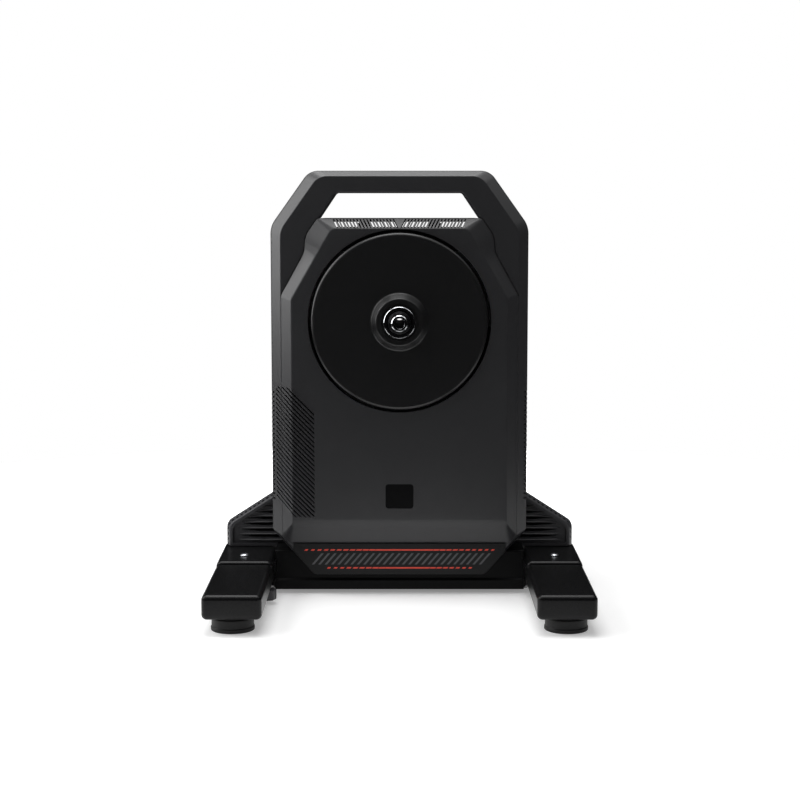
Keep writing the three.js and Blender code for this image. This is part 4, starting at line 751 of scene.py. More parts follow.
def front_cover(slots):
    """The front cover: a flat face whose edges slope back to the frame, and half of the roof."""
    shape = bpy.context.scene.trainer_shape
    ease = shape.face_ease
    foot = rounded_ring(SHOULDERED_FOOT, 0, 8)
    flat = rounded_ring(SHOULDERED_FACE, [12, 4, 4, 4, 4, 4, 4, 4, 4, 4, 12, 12], 8)
    face = rounded_ring(SHOULDERED_FACE, 0, 8)
    roll = np.interp(face[:, 1], [91.1, 92.4], [shape.bottom_roll, ease])
    outer = loft(eased([
        at_depth(flat, FACE), at_depth(face, FACE), at_depth(foot, -SEAT), at_depth(foot, -HALF_GAP),
    ], [0, roll, 0.8, 0]))
    thing = mesh_object("front_cover_shell", outer)
    keep(thing, clip(1.2, -40, -PLANE, THROAT_FLOOR))
    thick = WALL * math.sqrt(2)
    inner_deep = rounded_ring(FOOT_RING, edge_insets(thick, WALL - 7.5, WALL))
    hollow = mesh_object("hollow", loft(np.stack([
        at_depth(rounded_ring(FACE_RING, thick - WALL), FACE + WALL),
        at_depth(rounded_ring(FOOT_RING, thick), -SEAT),
        at_depth(inner_deep, ROOF_CREST), at_depth(inner_deep, 1),
    ])))
    keep(hollow, clip(GAP + WALL, -40, -PLANE + 1, THROAT_FLOOR - 1))
    cut(thing, taken(hollow))
    collar = profile((OPENING - 2, FACE + 1, 0), (OPENING + WALL, FACE + 1, 0),
                     (OPENING + WALL, FACE + 10.5, 0.5), (OPENING - 2, FACE + 10.5, 0.5))
    join(thing, turned(collar, 0, AXLE, segments=160))
    join(thing, *roof_posts(-22, -HALF_GAP))
    cut(thing, hole(OPENING, 0, AXLE, FACE, FACE + 12, 0.9, 160))
    cut(thing, slots)
    cut(thing, roof_slots(-40, -17.5))
    badge = np.array([(-17, 110, 3.5), (17, 110, 3.5), (17, 140, 3.5), (-17, 140, 3.5)])
    cut(thing, prism(rounded_ring(badge), FACE - 1, FACE + BADGE_DEPTH))
    dress(thing, "textured_abs gloss_insert", "base", "charcoal_shell", "front_cover")
    paint_faces(thing, 1, lambda middle, normal: (
        (abs(middle[:, 1] - (FACE + BADGE_DEPTH)) < 0.05) & (middle[:, 2] < 145) & (middle[:, 2] > 105)
        & (abs(middle[:, 0]) < 30) & (normal[:, 1] < -0.9)))


def vent_lining():
    """A black sheet behind the vents, painted shade inside them: a bent sheet, its section carried along Z.
    """
    section = np.array([
        (-102, -32.0), (-129.2, -32.0), (-138.4, -22.9), (-137, -22.9), (-128.6, -31.2), (-102, -31.2)])
    thing = mesh_object("vent_dust_screen", upright(section[::-1], 99.8, 262))
    dress(thing, "black_screen", "base", "charcoal_shell")


def rear_cover():
    """The rear cover: all its edges slope at 45 degrees, and its top is the roof's other half."""
    def ring_at(y, wall=0.0, steps=8):
        reach = y - SEAT
        top = max(y - REAR_CREST, 0)
        return rounded_ring(FOOT_RING, edge_insets(reach + wall, reach + wall, top + wall * 0.7), steps)

    ends = ring_at(REAR_CREST)
    outer = loft(eased([
        at_depth(ends, HALF_GAP), at_depth(ends, REAR_CREST), at_depth(ring_at(REAR_FACE), REAR_FACE),
        at_depth(rounded_ring(FOOT_RING, edge_insets(8.2, 8.2, 16), 8), REAR_FACE),
    ], [0, 1.5, 0.9, 0]))
    thing = mesh_object("rear_cover_shell", outer)
    keep(thing, clip(GAP, PLANE, 40, THROAT_FLOOR))
    thick = WALL * math.sqrt(2)
    inner_ends = ring_at(REAR_CREST, thick)
    hollow = mesh_object("hollow", loft(np.stack([
        at_depth(inner_ends, -1), at_depth(inner_ends, REAR_CREST),
        at_depth(ring_at(REAR_FACE - WALL, thick), REAR_FACE - WALL),
    ])))
    keep(hollow, clip(GAP + WALL, PLANE - 1, 40, THROAT_FLOOR - 1))
    cut(thing, taken(hollow))
    join(thing, *roof_posts(HALF_GAP, REAR_CREST))
    flipped = hole(25, 0, AXLE, -REAR_FACE, -20, 1.0, 96)
    cut(thing, outward(flipped[0] * [1, -1, 1], flipped[1]))
    cut(thing, roof_slots(17.5, 40, 10, 7.9, 6.2))
    dress(thing, "textured_abs", "base", "charcoal_shell", "rear_cover")


def lower_apron():
    """The dark plate under the cover: an eased prism along Y."""
    corners = mirrored([(104.5, 26, 9), (FACE_HALF, 55.1, 1.5), (FACE_HALF, 64.7, 0.6)])
    ring, inner = rounded_ring(corners), rounded_ring(corners, 1.2)
    stations = [at_depth(inner, -24.6), at_depth(ring, -24.6), at_depth(ring, -SEAT)]
    thing = mesh_object("lower_apron_plate", loft(eased(stations, [0, 0.8, 0])))
    dress(thing, "matt_abs", "base", "accent_plate", "lower_apron")


def leaning_dashes(starts, lengths, z0, z1, lean):
    """Flat slanted dashes as one mesh: parallelograms from starts, one for each length.

    They stand 0.12 mm out of the plate and reach a little way into it.
    """
    x = np.stack([starts, starts + lengths, starts + lengths + lean, starts + lean], 1)
    z = np.broadcast_to(np.array([z0, z0, z1, z1]), x.shape)
    front = np.stack([x, np.full(x.shape, PRINT_FRONT), z], -1)
    back = front + [0, GAP, 0]
    return merged(*[loft(np.stack(pair)) for pair in zip(front, back)])


def apron_print():
    """A generic printed band: two broken red lines and grey hatching that all leans one way.

    Dash k of a line starts at its pitch times k. Its length grows from a third of the pitch at the
    line's ends to nearly the whole pitch in the middle.
    """
    reds = []
    for middle, count in ((56.6, 30), (34.2, 23)):
        starts = (np.arange(count) - count / 2) * PRINT_PITCH + 1.6
        share = 1 - np.abs(starts + 2.4) / (count * PRINT_PITCH / 2)
        lengths = PRINT_PITCH * np.clip(0.42 + 0.75 * share, 0, 1.01)
        reds.append(leaning_dashes(starts, lengths, middle - 0.9, middle + 0.9, 1.4))
    dress(mesh_object("apron_red_print", merged(*reds)), "red_ink", "base", "accent_plate")
    starts = np.arange(-108, 98, PRINT_PITCH)
    hatch = leaning_dashes(starts, np.full(len(starts), 3.0), 38.4, 52.4, 12.0)
    dress(mesh_object("apron_grey_print", hatch), "grey_ink", "base", "accent_plate")


def side_grille(side):
    """The slotted plate in a side wall."""
    name = side_name(side)
    low, high = span(f"side_grille_{name}")
    thing = mesh_object(f"side_grille_plate_{name}", block(*np.stack([low, high], 1).ravel()))
    slots = [block(low[0] - 1, high[0] + 1, low[1] + 2.2, high[1] - 2.2, z, z + GRILLE_SLOT)
             for z in grille_heights(low[2], high[2] - 4.8)]
    cut(thing, *slots)
    dress(thing, "filled_nylon", "base", "grille_plastic", f"side_grille_{name}")


# Disc, axle and freehub


def hub_disc():
    """The disc and its boss, turned round the axle."""
    rows = profile(
        (15.3, -50, 0.4), (21, -50, 0.2), (21.8, -51, 0.4), (28, -51, 1.2), (34.6, -42, 1.6),
        (106.7, -42, 4.2), (106.7, -27, 0.5),
        (103.5, -27, 0.5), (103.5, -39, 1.5), (33.5, -39, 1.0), (26.4, -27, 0.5), (15.3, -27, 0.3), steps=6)
    thing = mesh_object("hub_disc", turned(rows, 0, AXLE, segments=224))
    dress(thing, "satin_abs", "hub", "disc_plastic", "pulley_cover", sharp=50)


def axle_end():
    """The shaft cap, the wheel axle's tube and its two end pieces with their bright cut edges."""
    rows = profile(
        (15, -56.3, 0.5), (18.4, -56.3, 0), (18.9, -55.8, 0), (18.9, -50.3, 0.2), (7.8, -50.3, 0),
        (7.8, -51.3, 0), (15, -51.3, 0.6))
    cap = mesh_object("shaft_cap_turned", turned(rows, 0, AXLE, segments=128))
    dress(cap, "black_anodised bright_cut_aluminium", "hub", "cap_metal", "shaft_cap", sharp=25)
    paint_faces(cap, 1, lambda middle, normal: (
        (middle[:, 1] < -55.9) & (abs(normal[:, 1] + 0.71) < 0.1)))
    rows = profile(
        (BORE, -62.2, 0), (BORE, -70.6, 0), (6.5, -71, 0), (8.9, -71, 0), (9.7, -70.2, 0),
        (10.4, -66.4, 0.3), (11.8, -66.2, 0.3), (12.4, -62.6, 0.3), (13.6, -62.4, 0.3),
        (14, -58.3, 0), (7.8, -58.3, 0), (7.8, -62.2, 0))
    left = mesh_object("adapter_end_left", turned(rows, 0, AXLE, segments=128))
    dress(left, "black_anodised bright_cut_aluminium black_oxide_steel", "base",
          "bright_aluminium", "adapter_left", sharp=25)
    paint_faces(left, 1, lambda middle, normal: (middle[:, 1] < -70.3) & (abs(normal[:, 1]) < 0.97))
    paint_faces(left, 2, lambda middle, normal: (
        (middle[:, 1] > -62.5) & (abs(normal[:, 1]) > 0.1)
        & (normal[:, 1] > -0.97) & (normal[:, 1] < 0)))
    rows = [(BORE, -62), (7.5, -62), (7.5, 64.5), (BORE, 64.5), (BORE, -62)]
    tube = mesh_object("wheel_axle_tube", turned(rows, 0, AXLE, segments=96))
    dress(tube, "milled_aluminium", "base", "dark_steel", "main_axle")
    rows = profile(
        (BORE, 64.8, 0), (11.2, 64.8, 0.3), (10.4, 67, 0.3), (9.7, 70.2, 0), (8.9, 71, 0),
        (6.95, 71, 0), (BORE, 70.2, 0))
    right = mesh_object("adapter_end_right", turned(rows, 0, AXLE, segments=128))
    dress(right, "black_anodised bright_cut_aluminium", "base", "bright_aluminium",
          "adapter_right", sharp=25)
    paint_faces(right, 1, lambda middle, normal: (middle[:, 1] > 70.3) & (abs(normal[:, 1]) < 0.97))


def freehub():
    """The splined freehub body: a turned sleeve with nine grooves cut along it."""
    rows = profile(
        (14.8, 28.5, 0.3), (19.5, 28.5, 0.5), (19.5, 31, 0.5), (17.3, 31, 0.3), (17.3, 64.5, 0.6),
        (12.3, 64.5, 0.4), (12.3, 57.2, 0), (9, 57.2, 0), (9, 51.2, 0), (12.3, 51.2, 0),
        (12.3, 37.4, 0), (14.8, 37.4, 0))
    thing = mesh_object("freehub_splined_body", turned(rows, 0, AXLE, segments=144))
    groove = np.array([(-3, 15.9), (3, 15.9), (3, 19), (-3, 19)])
    grooves = []
    for angle in TURN * np.arange(9) / 9:
        turn = np.array([(math.cos(angle), -math.sin(angle)), (math.sin(angle), math.cos(angle))])
        grooves.append(prism(groove @ turn.T + [0, AXLE], 31.2, 66))
    cut(thing, *grooves)
    dress(thing, "black_oxide_steel", "freehub", "dark_steel", "freehub_body")


def socket_head(node, rows, axis, socket, floor, top, slot, finishes):
    """A screw in a CAD node's place: a turned shank and head with a six-sided socket."""
    x, y, z = sum(span(node)) / 2
    other, push = (z, prism) if axis == "y" else (y, upright)
    rows = profile(*rows, closed=False)
    thing = mesh_object(f"{node}_head", turned(rows, x, other, axis, 48))
    cut(thing, push(circle(socket, x, other, 6), floor, top))
    dress(thing, finishes, "base", slot, node)


def cover_screws():
    """Four screws with domed heads on the drive side."""
    rows = [(0, 18.3, 0), (1.8, 18.3, 0), (1.8, 27.3, 0), (3.6, 27.3, 0.4), (3.4, 29.7, 1.0), (0, 29.7, 0)]
    for number in range(1, 5):
        socket_head(f"cover_screw_{number}", rows, "y", 1.5, 28.2, 31, "dark_steel", "black_oxide_steel")


# Base


def cross_beam():
    """The beam under the body: a channel with a lip along its front, carried along X."""
    corners = np.array([
        (-15, 5, 1.0), (-7, 5, 1.0), (-7, 23, 1.5), (41, 23, 1.5), (41, 5, 1.0), (46, 5, 1.2),
        (46, 54, 3), (-12, 54, 2.9), (-12, 19, 0.5), (-15, 16.4, 0.8),
    ])
    ring = rounded_ring(corners)
    reach = BLOCK_IN - GAP
    ends = [np.stack([np.full(len(ring), x), ring[:, 0], ring[:, 1]], 1) for x in (-reach, reach)]
    thing = mesh_object("cross_beam_channel", loft(np.stack(ends)))
    join(thing, *[block(side * 152, side * SPIGOT_END, *SPIGOT) for side in (-1, 1)])
    # The beam takes the darker copy of the coat: painted shade under the body.
    dress(thing, "dull_coated_steel", "base", "black_coated_metal", "cross_beam")


def base_block(side):
    """The block at one end of the beam, with a tongue at each end that the hinge pins hold."""
    name = side_name(side)
    reach = SEAM - HALF_SEAM
    thing = mesh_object(f"base_block_body_{name}", bar(
        side * BLOCK_IN, side * BLOCK_OUT, -reach, reach, *BLOCK_HEIGHTS, BAR_EDGE, 4.5, 4.5))
    pocket = SPIGOT + [-GAP, GAP, -GAP, GAP]
    cut(thing, block(side * 153, side * (SPIGOT_END + GAP), *pocket))
    x0, x1 = sorted((side * BLOCK_IN, side * 158))
    rail = [np.array([(x0, y, low), (x1, y, low), (x1, y, 25), (x0, y, 25)])
            for y, low in ((-46.5, 17), (-12, 6), (46, 6))]
    join(thing, loft(np.stack(rail)))
    for end in (-1, 1):
        x, y = side * PIN_X, end * PIN_Y
        tongue = mesh_object("tongue", upright(circle(TONGUE_RADIUS, x, y, 40), *TONGUE_HEIGHTS))
        join(tongue, block(
            x - TONGUE_RADIUS, x + TONGUE_RADIUS, y, y - end * 14.5, *TONGUE_HEIGHTS))
        cut(tongue, upright(circle(PIN_HOLE, x, y, 32), 29, 42))
        join(thing, taken(tongue))
    dress(thing, "powder_coated_steel", "base", "black_coated_metal", f"base_block_{name}")


def base_bolts():
    """The bright bolt in each block, with a hexagon socket."""
    rows = [
        (0, 28, 0), (3.2, 28, 0), (3.2, 49.7, 0), (5.7, 49.7, 0.2), (5.7, 50.4, 0.4), (3.9, 52, 1),
        (0, 52, 0),
    ]
    for name in ("left", "right"):
        socket_head(f"base_bolt_{name}", rows, "z", 2.6, 50.4, 54.5, "bright_steel", "zinc_plated_steel")


def folding_leg(side, end):
    """One leg: a rounded bar whose inner corner is cut round its pin, with room for the tongue."""
    place = corner_name(side, end)
    seam = end * (SEAM + HALF_SEAM)
    start, stop = (6, 4.5) if end < 0 else (4.5, 6)
    thing = mesh_object(f"leg_bar_{place}", bar(
        side * BLOCK_IN, side * BLOCK_OUT, seam, end * LEG_END, *LEG_HEIGHTS, BAR_EDGE, start, stop))
    x, y = side * PIN_X, end * PIN_Y
    inside, behind = side * 152, seam - end * 2.5
    corner = mesh_object("corner", block(inside, x, behind, y, 16, 49))
    cut(corner, upright(circle(7, x, y, 64), 15, 50))
    cut(thing, taken(corner))
    cut(thing, block(inside, x + side * 7.2, behind, y + end * 7.2, 30.2, 40.3))
    cut(thing, upright(circle(PIN_HOLE, x, y, 32), 16, 42.5))
    foot = (side * FOOT_PLACE[0], end * FOOT_PLACE[1])
    cut(thing, upright(circle(5.3, *foot, 32), 16, 29.5))
    dress(thing, "powder_coated_steel", f"leg_{place}", "black_coated_metal", f"leg_{place}")


def rubber_foot(side, end):
    """A turned rubber foot with a fine groove round its pad."""
    place = corner_name(side, end)
    rows = profile(
        (0, 0, 0), (25, 0, 1.5), (25, 4.5, 0.8), (24.2, 5.2, 0.3), (24.2, 14.7, 1.2),
        (22.6, 15.6, 0.4), (22.6, 17.9, 0.5), (5, 17.9, 0.2), (5, 29.2, 0.5), (0, 29.2, 0), closed=False)
    foot = turned(rows, side * FOOT_PLACE[0], end * FOOT_PLACE[1], "z", 96)
    thing = mesh_object(f"foot_pad_{place}", foot)
    dress(thing, "moulded_rubber", f"leg_{place}", "rubber", f"foot_{place}")


def lock_knob():
    """The lobed knob: radius times 1 - 0.04 * (1 - cos(8 * angle))."""
    rows = profile(
        (0, 5.2, 0), (12.5, 5.2, 1.6), (12.5, 17.9, 1.0), (PIN_HOLE, 17.9, 0), (PIN_HOLE, 8.9, 0),
        (0, 8.9, 0), closed=False)
    shape = turned(rows, -PIN_X, -PIN_Y, "z", 160, lambda angle: 1 - 0.04 * (1 - np.cos(8 * angle)))
    thing = mesh_object("lock_knob_grip", shape)
    dress(thing, "filled_nylon", "lock_knob", "housing_plastic", "lock_knob")


# Rear housing


def outline_walk(ring, pitch, phase):
    """Points, and the directions they face, at equal steps along a ring, clear of its ends."""
    legs = np.diff(ring, axis=0)
    reach = np.concatenate([[0], np.cumsum(np.linalg.norm(legs, axis=1))])
    steps = np.arange(phase, reach[-1], pitch)
    points, ahead, behind = [
        np.stack([np.interp(steps + shift, reach, ring[:, i]) for i in (0, 1)], 1)
        for shift in (0, 0.5, -0.5)]
    along = ahead - behind
    along /= np.linalg.norm(along, axis=1, keepdims=True)
    return points, along, np.stack([along[:, 1], -along[:, 0]], 1)


def hood_ring(y, extra=0.0, steps=8):
    """The hood's outline at a depth: rounded over at its front, then tapered to its back."""
    rounding = np.interp(y, [HOOD_FRONT, HOOD_ROUND], [4.2, 0]) + extra
    taper = np.interp(y, [HOOD_ROUND, HOOD_BACK], [0, 1])
    return rounded_ring(HOUSING, rounding * HOOD_OPEN + taper * HOOD_TAPER, steps)


def honeycomb(rows, pitch=6.5, radius=2.25):
    """Six-sided pockets all over the hood: each is a hexagon in the plane of the surface.

    A corner is centre + radius * (cos * along + sin * depth), pushed in along the surface's normal.
    Every other row is shifted by half the pitch. The pockets get shallower as the wall thins.
    """
    angle = TURN * (np.arange(6) + 0.5) / 6
    shapes = []
    for number, y in enumerate(rows):
        phase = pitch * (0.5 if number % 2 else 1.0) + 3
        points, along, facing = outline_walk(hood_ring(y)[8:-8], pitch, phase)
        across = points[:, None] + radius * np.cos(angle)[None, :, None] * along[:, None]
        depth = np.broadcast_to(y + radius * np.sin(angle), across.shape[:2])
        deep = np.interp(y, [45, 90], [5.5, 3.0])
        for k in range(len(points)):
            top = np.stack([across[k, :, 0], depth[k], across[k, :, 1]], 1)
            normal = np.array([facing[k, 0], 0, facing[k, 1]])
            shapes.append(loft(np.stack([top + normal * 3, top - normal * deep])))
    return merged(*shapes)


def rear_housing():
    """The hood behind the body: a lofted shell with a pocketed skin and six tapered fins a side."""
    stations = [(HOOD_FRONT, 5), (HOOD_FRONT, 0), (HOOD_ROUND, 0), (HOOD_BACK, 0), (HOOD_BACK, 8)]
    outer = [at_depth(hood_ring(y, extra), y) for y, extra in stations]
    thing = mesh_object("rear_housing_hood", loft(eased(outer, [0, 1.6, 3, 4, 0])))
    foot = np.array([0, 0, 0, 0, 0, 3.0])
    hollow = [at_depth(rounded_ring(HOUSING, 8 * HOOD_OPEN + foot), 38.5),
              at_depth(rounded_ring(HOUSING, 4 * HOOD_OPEN + HOOD_TAPER + foot), 92)]
    cut(thing, loft(np.stack(hollow)))
    cut(thing, block(-BLOCK_IN, BLOCK_IN, 30, 46.3, 49, 54.3))
    panel = rounded_ring(HOUSING, 8.2 * HOOD_OPEN + foot * 1.13)
    cut(thing, prism(panel, 30, 35.5))
    # A fin thins out to its tip, limit, which follows the hood's slope above the height of bend.
    widest, bend, slope, root = 205.5, 77.5, 1.52, 36.2
    section = np.array([(root, -0.6), (root, 2.8), (32.8, 0.5), (32.5, 0), (32.8, -0.6)])
    share = np.array([0.02, 0.3, 0.55, 0.8, 0.95, 1, 1])[:, None]
    fins, gaps = [], []
    for z in 57.7 + 7.62 * np.arange(6):
        limit = widest - max(z - bend, 0) * slope
        tip, full = limit - 7, limit - 30
        gap = np.array([(120, 3.3), (full, 3.3), (tip, 4.6), (tip, 5.0), (full, 6.7), (120, 6.7)])
        y = root + (section[:, 0] - root) * share
        height = z + section[:, 1] * share
        for side in (-1, 1):
            gaps.append(prism(gap * [side, 1] + [0, z], 33, 42))
            x = side * (limit - np.array([0, 3, 7, 13, 20, 27, limit - 96]))
            fins.append(loft(np.stack([np.broadcast_to(x[:, None], y.shape), y, height], -1)))
    join(thing, *fins)
    cut(thing, *gaps)
    cut(thing, *[
        turned([(0, 90), (radius, 90), (radius, 98), (0, 98)], x, FITTING_Z, segments=32)
        for radius, x in ((6.3, FITTING_X), (4.3, -FITTING_X))])
    cut(thing, honeycomb(36.6 + 5.55 * np.arange(10)))
    dress(thing, "filled_nylon", "base", "housing_plastic", "rear_housing")


def housing_fittings():
    """The power inlet, a ring round a pin, and the status lamp's domed lens."""
    rows = profile(
        (0, 84.3, 0), (6, 84.3, 0), (6, 96.3, 0), (8, 96.3, 0.2), (8, 97.9, 0.6), (3.2, 97.9, 0.3),
        (3.2, 85.9, 0), (1, 85.9, 0), (1, 96.3, 0.5), (0, 96.3, 0), closed=False)
    inlet = mesh_object("power_inlet_socket", turned(rows, FITTING_X, FITTING_Z, segments=64))
    dress(inlet, "filled_nylon zinc_plated_steel", "base", "moulded_parts", "power_inlet")
    paint_faces(inlet, 1, lambda middle, normal: (
        np.hypot(middle[:, 0] - FITTING_X, middle[:, 2] - FITTING_Z) < 1.5))
    rows = profile((0, 92, 0), (4, 92, 0), (4, 96.6, 0.8), (0, 96.6, 0), closed=False)
    lens = mesh_object("status_lamp_lens", turned(rows, -FITTING_X, FITTING_Z, segments=48))
    dress(lens, "clear_lens", "base", "lamp_lens", "status_lamp")


CARRIED_OVER = {
    "milled_aluminium": "bearing_plate drive_pulley tension_arm",
    "zinc_plated_steel": (
        "hub_shaft ratchet_ring axle_bearing_left axle_bearing_right hub_bearing_left "
        "hub_bearing_right freehub_bearing_inner freehub_bearing_outer flywheel_shaft "
        "flywheel_pulley flywheel_bearing_front flywheel_bearing_rear tension_bolt "
        "hinge_pin_near_left hinge_pin_near_right hinge_pin_far_left hinge_pin_far_right"),
    "black_oxide_steel": "brake_core idler_pulley",
    "turned_iron": "flywheel",
    "copper_windings": "brake_coils",
    "moulded_rubber": "drive_belt",
    "solder_mask": "control_board",
    "filled_nylon": "speed_sensor",
}


def inner_parts():
    """Gives the CAD nodes that keep their shape the finish of the real part."""
    for material, nodes in CARRIED_OVER.items():
        for node in nodes.split():
            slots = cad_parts[node].data.materials
            slots.clear()
            slots.append(finish(material))


# Stage


# Each softbox: the setting with its power, its place, its target, width and height, in metres
SOFTBOXES = (
    ("top", (-0.15, 0.2, 2.0), (-0.15, 0.199, 0), 1.2, 1.5),
    ("left", (-1.15, 0, 0.95), (0, 0, 0.8), 0.5, 1.4),
    ("right", (1.15, 0, 1.35), (0, 0, 0.5), 0.5, 0.7),
    ("front", (-0.95, -0.72, 0.95), (0, 0, 0.4), 0.35, 0.4),
)
# The camera that was fitted to the photo: lens and sensor in mm, place in metres, tilt from the
# upright in degrees
FOCAL_LENGTH = 80.1
SENSOR_WIDTH = 36
CAMERA_PLACE = (0.0006, -2.175, 0.4985)
CAMERA_TILT = 83.202


def seen(tree):
    """1 for what the camera sees, also in gloss and through glass, and 0 for bounced light."""
    rays = add(tree, "ShaderNodeLightPath")
    either = add(tree, "ShaderNodeMath", {
        0: rays.outputs["Is Camera Ray"], 1: rays.outputs["Is Glossy Ray"]}, operation="MAXIMUM")
    return add(tree, "ShaderNodeMath", {
        0: either.outputs[0], 1: rays.outputs["Is Transmission Ray"]}, operation="MAXIMUM").outputs[0]


def pale_floor(glow):
    """Matt white paper that also glows where it is seen.

    The glow grows from its value under the set to 1, which is white, at 0.8 m from the middle.
    """
    material, tree, output = blank("pale_floor")
    place = add(tree, "ShaderNodeTexCoord").outputs["Object"]
    away = add(tree, "ShaderNodeVectorMath", {0: place}, operation="LENGTH")
    rise = add(tree, "ShaderNodeMapRange", {
        "Value": away.outputs["Value"], "From Min": 0.35, "From Max": 0.8, "To Min": glow, "To Max": 1.0})
    strength = add(tree, "ShaderNodeMath", {
        0: seen(tree), 1: rise.outputs["Result"]}, operation="MULTIPLY")
    light = add(tree, "ShaderNodeEmission", {"Strength": strength.outputs[0]})
    matt = add(tree, "ShaderNodeBsdfDiffuse", {"Color": (*linear("#f2f2f2"), 1)})
    both = add(tree, "ShaderNodeAddShader", {0: light.outputs[0], 1: matt.outputs[0]})
    tree.links.new(both.outputs[0], output.inputs["Surface"])
    return material


def black_cloth():
    """Black velvet on the frames round the set."""
    material, tree, output = blank("black_cloth")
    matt = add(tree, "ShaderNodeBsdfDiffuse", {"Color": (*linear("#161616"), 1)})
    tree.links.new(matt.outputs[0], output.inputs["Surface"])
    return material


def softbox(name, place, target, width, height, power):
    """A rectangular area lamp at a place in metres, turned to face a target."""
    lamp = bpy.data.lights.new(name, "AREA")
    lamp.shape = "RECTANGLE"
    lamp.size, lamp.size_y, lamp.energy = width, height, power
    thing = bpy.data.objects.new(name, lamp)
    thing.location = place
    thing.rotation_euler = (Vector(target) - Vector(place)).to_track_quat("-Z", "Y").to_euler()
    thing.visible_camera = False
    bpy.context.scene.collection.objects.link(thing)


def stage():
    """A pale round floor, dark cloths round it that only gloss shows, a white world, lamps and camera."""
    scene = bpy.context.scene
    light = scene.trainer_light
    ring = circle(light.cloth_reach / MILLIMETRE, 0, 0, 96)
    floor = mesh_object("floor", (at_height(ring, 0), [list(range(len(ring)))]))
    floor.data.materials.append(pale_floor(light.floor_glow))
    bowl = np.stack([
        at_height(circle(430, 0, 0, 96) * [1.5, 1], 3), at_height(ring, 120),
        at_height(ring, light.cloth_height / MILLIMETRE)])
    cloths = mesh_object("dark_cloths", (bowl.reshape(-1, 3), skin(bowl)))
    cloths.data.materials.append(black_cloth())
    cloths.visible_camera = cloths.visible_diffuse = cloths.visible_shadow = False
    world = bpy.data.worlds.new("studio")
    scene.world = world
    world.use_nodes = True
    tree = world.node_tree
    tree.nodes.clear()
    strength = add(tree, "ShaderNodeMapRange", {
        "Value": seen(tree), "To Min": light.ambient, "To Max": 1.0})
    glow = add(tree, "ShaderNodeBackground", {"Color": (1, 1, 1, 1), "Strength": strength.outputs[0]})
    sink = add(tree, "ShaderNodeOutputWorld")
    tree.links.new(glow.outputs[0], sink.inputs["Surface"])
    for name, place, target, width, height in SOFTBOXES:
        softbox(f"{name}_softbox", place, target, width, height, getattr(light, name))
    lens = bpy.data.cameras.new("camera")
    lens.lens, lens.sensor_width = FOCAL_LENGTH, SENSOR_WIDTH
    camera = bpy.data.objects.new("camera", lens)
    camera.location = CAMERA_PLACE
    camera.rotation_euler = (math.radians(CAMERA_TILT), 0, 0)
    scene.collection.objects.link(camera)
    scene.camera = camera
    scene.view_settings.view_transform = "Standard"


# Settings, operators and panel


def colour_setting(name, description, code):
    return bpy.props.FloatVectorProperty(
        name=name, description=description, subtype="COLOR", size=3, min=0, max=1, default=linear(code))


def number_setting(name, description, default, min=0, **kind):
    return bpy.props.FloatProperty(name=name, description=description, default=default, min=min, **kind)


class TrainerColours(bpy.types.PropertyGroup):
    """Colours of the trainer's finishes."""
    shell: colour_setting("Shell", "Charcoal ABS of the frame and covers", "#2a2a2c")
    disc: colour_setting("Disc", "Darker ABS of the disc", "#161617")
    housing: colour_setting("Housing", "Nylon of the rear housing, grilles and knob", "#303033")
    coat: colour_setting("Coat", "Powder coat of the beam, blocks and legs", "#0e0e0f")
    rubber: colour_setting("Rubber", "Rubber of the feet and belt", "#1a1a1a")
    # Painted shade: the black of the sheet behind the vents and of the beam's coat under the body.
    screen: colour_setting("Screen", "Dust screen behind the vents", "#0a0a0b")
    insert: colour_setting("Insert", "Smooth panel in the cover's recess", "#0c0c0d")
    anodised: colour_setting("Anodised", "Black anodised aluminium", "#18181a")
    aluminium: colour_setting("Aluminium", "Bare aluminium", "#c4c6c9")
    zinc: colour_setting("Zinc", "Zinc-plated steel", "#b4b6ba")
    oxide: colour_setting("Oxide", "Black oxide on steel", "#2e2f31")
    iron: colour_setting("Iron", "Machined cast iron", "#77797c")
    copper: colour_setting("Copper", "Enamelled copper wire", "#b5693c")
    board: colour_setting("Board", "Solder mask of the control board", "#1d4a33")
    lens: colour_setting("Lens", "Clear lens of the status lamp", "#e6eef0")
    red: colour_setting("Red ink", "Red print on the lower plate", "#e0432f")
    grey: colour_setting("Grey ink", "Grey hatching on the lower plate", "#4a4a4c")


class TrainerShape(bpy.types.PropertyGroup):
    """Eased edges of the shells, in millimetres."""
    face_ease: number_setting(
        "Face edge", "Roundness of the front cover's face edge, in mm", 1.4, min=0.1, max=4)
    bottom_roll: number_setting(
        "Bottom roll", "Reach of the soft bend at the foot of the front face, in mm", 7, min=0.1, max=11)
    grip_ease: number_setting(
        "Grip edge", "Roundness of the grip hole's rims, in mm", 3.2, min=0.1, max=6)


class TrainerLight(bpy.types.PropertyGroup):
    """Strengths of the studio's lamps, and its cloths."""
    top: number_setting("Top", "Softbox overhead", 26, unit="POWER")
    left: number_setting("Left", "Softbox at the left", 13, unit="POWER")
    right: number_setting("Right", "Softbox high at the right", 1.4, unit="POWER")
    front: number_setting("Front", "Softbox at the front left", 2.2, unit="POWER")
    ambient: number_setting("Ambient", "World light on matt surfaces", 0.38, max=1)
    floor_glow: number_setting("Floor glow", "Glow of the floor to the camera", 0.24, max=1)
    cloth_height: number_setting("Cloth height", "Height of the dark cloths", 1.6, unit="LENGTH")
    cloth_reach: number_setting("Cloth reach", "Distance of the dark cloths", 1.25, min=0.5, unit="LENGTH")


class TRAINER_OT_stage(bpy.types.Operator):
    """Sets the floor, cloths, world, lamps and camera"""
    bl_idname = "trainer.stage"
    bl_label = "Stage"

    def execute(self, context):
        stage()
        return {"FINISHED"}


class TRAINER_OT_shells(bpy.types.Operator):
    """Builds the carry frame and both covers"""
    bl_idname = "trainer.shells"
    bl_label = "Frame and Covers"

    def execute(self, context):
        slots = vent_slots()
        carry_frame(slots)
        front_cover(slots)
        vent_lining()
        rear_cover()
        return {"FINISHED"}


